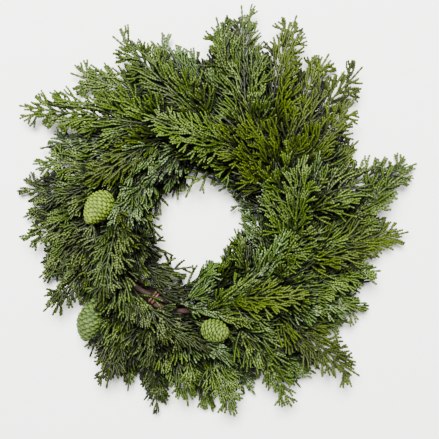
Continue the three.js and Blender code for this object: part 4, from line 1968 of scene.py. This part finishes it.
CONES = [
    Cone("left", 147, (-149, 26, 52), (-0.5, -0.72, 0.25), 60, 56.0, 19.0, shown=0, scale_size=6.5),
    # The lower-left cone takes a darker copy of the cone finish: painted shade, as it lies in shade.
    Cone("lower_left", 197, (-164, -142, 40), (-0.25, -0.95, -0.1), 30, 54.0, 18.0, neck=18, shown=-8, scale_size=7.4,
         finish=ConeFinish("shaded green cone", 0x121C05, 0x2E4212, 0x4C651E, 0x83965A)),
    # The lower cone takes a darker copy of the cone finish: painted shade.
    Cone("lower", 261, (20, -150, 56), (0.72, -0.12, 0.55), 80, 46.0, 16.0, scale_size=6.0,
         finish=ConeFinish("deep green cone", 0x0E1702, 0x283C08, 0x40590B, 0x8DA245)),
]


# Studio


@dataclass
class Studio:
    """The pale ground, the soft light and the camera, which looks straight at the wreath's face."""

    seen_width: float = 0.637
    sensor: float = 36.0
    lens: float = 65.0
    aim: tuple[float, float, float] = (0.0036, -0.0145, 0.04)
    ground_size: float = 6.0
    key_power: float = 650.0
    key_size: float = 1.7
    key_at: tuple[float, float, float] = (-0.25, 1.35, 3.05)
    fill_power: float = 8.0
    fill_at: tuple[float, float, float] = (0.9, -0.9, 1.6)
    sky: float = 0.56
    key_colour: tuple[float, float, float] = (1.0, 0.98, 0.94)
    pale_colour: tuple[float, float, float] = (1.0, 1.0, 0.98)
    near: float = 0.01
    far: float = 20.0

    def build(self) -> None:
        """Sets up the ground, the lights and the camera."""
        self._ground()
        self._area("key light", self.key_at, self.key_power, self.key_size, self.key_colour)
        self._area("fill light", self.fill_at, self.fill_power, 2 * self.key_size, self.pale_colour)
        world = bpy.data.worlds.new("soft sky")
        world.use_nodes = True
        background = world.node_tree.nodes["Background"]
        background.inputs["Color"].default_value = (*self.pale_colour, 1.0)
        background.inputs["Strength"].default_value = self.sky
        bpy.context.scene.world = world
        data = bpy.data.cameras.new("camera")
        data.sensor_width, data.lens = self.sensor, self.lens
        data.clip_start, data.clip_end = self.near, self.far
        camera = bpy.data.objects.new("camera", data)
        distance = self.seen_width / self.sensor * self.lens
        camera.location = (self.aim[0], self.aim[1], self.aim[2] + distance)
        bpy.context.scene.collection.objects.link(camera)
        bpy.context.scene.camera = camera

    def _ground(self) -> None:
        """Lays the ground under the wreath."""
        half = self.ground_size / 2
        mesh = bpy.data.meshes.new("ground")
        mesh.from_pydata([(-half, -half, 0), (half, -half, 0), (half, half, 0), (-half, half, 0)], [], [(0, 1, 2, 3)])
        mesh.materials.append(FloorFinish().material())
        ground = bpy.data.objects.new("ground", mesh)
        bpy.context.scene.collection.objects.link(ground)

    @staticmethod
    def _area(name: str, at: tuple[float, float, float], power: float, size: float,
              colour: tuple[float, float, float]) -> None:
        """Hangs a square light that faces the wreath.

        Args:
            name: Its name.
            at: Where it hangs.
            power: In watts.
            size: Its side, in metres.
            colour: Its colour.
        """
        data = bpy.data.lights.new(name, "AREA")
        data.energy, data.size, data.color = power, size, colour
        light = bpy.data.objects.new(name, data)
        light.location = at
        light.rotation_euler = (-light.location).to_track_quat("-Z", "Y").to_euler()
        bpy.context.scene.collection.objects.link(light)


def main() -> None:
    """Builds the wreath around its solids."""
    logging.basicConfig(level=logging.INFO, format="%(message)s")
    ring = VineRing()
    ring.build()
    growth = Growth(cores=[cone.core for cone in CONES])
    ring.place(growth.placed)
    for cone in CONES:
        cone.place(growth.placed)
    foliage = Foliage(growth, Room(growth, CONES))
    foliage.build()
    for cone in CONES:
        cone.build(foliage.materials[Tone.GREEN], foliage.canopy)
    Studio().build()


if __name__ == "__main__":
    main()
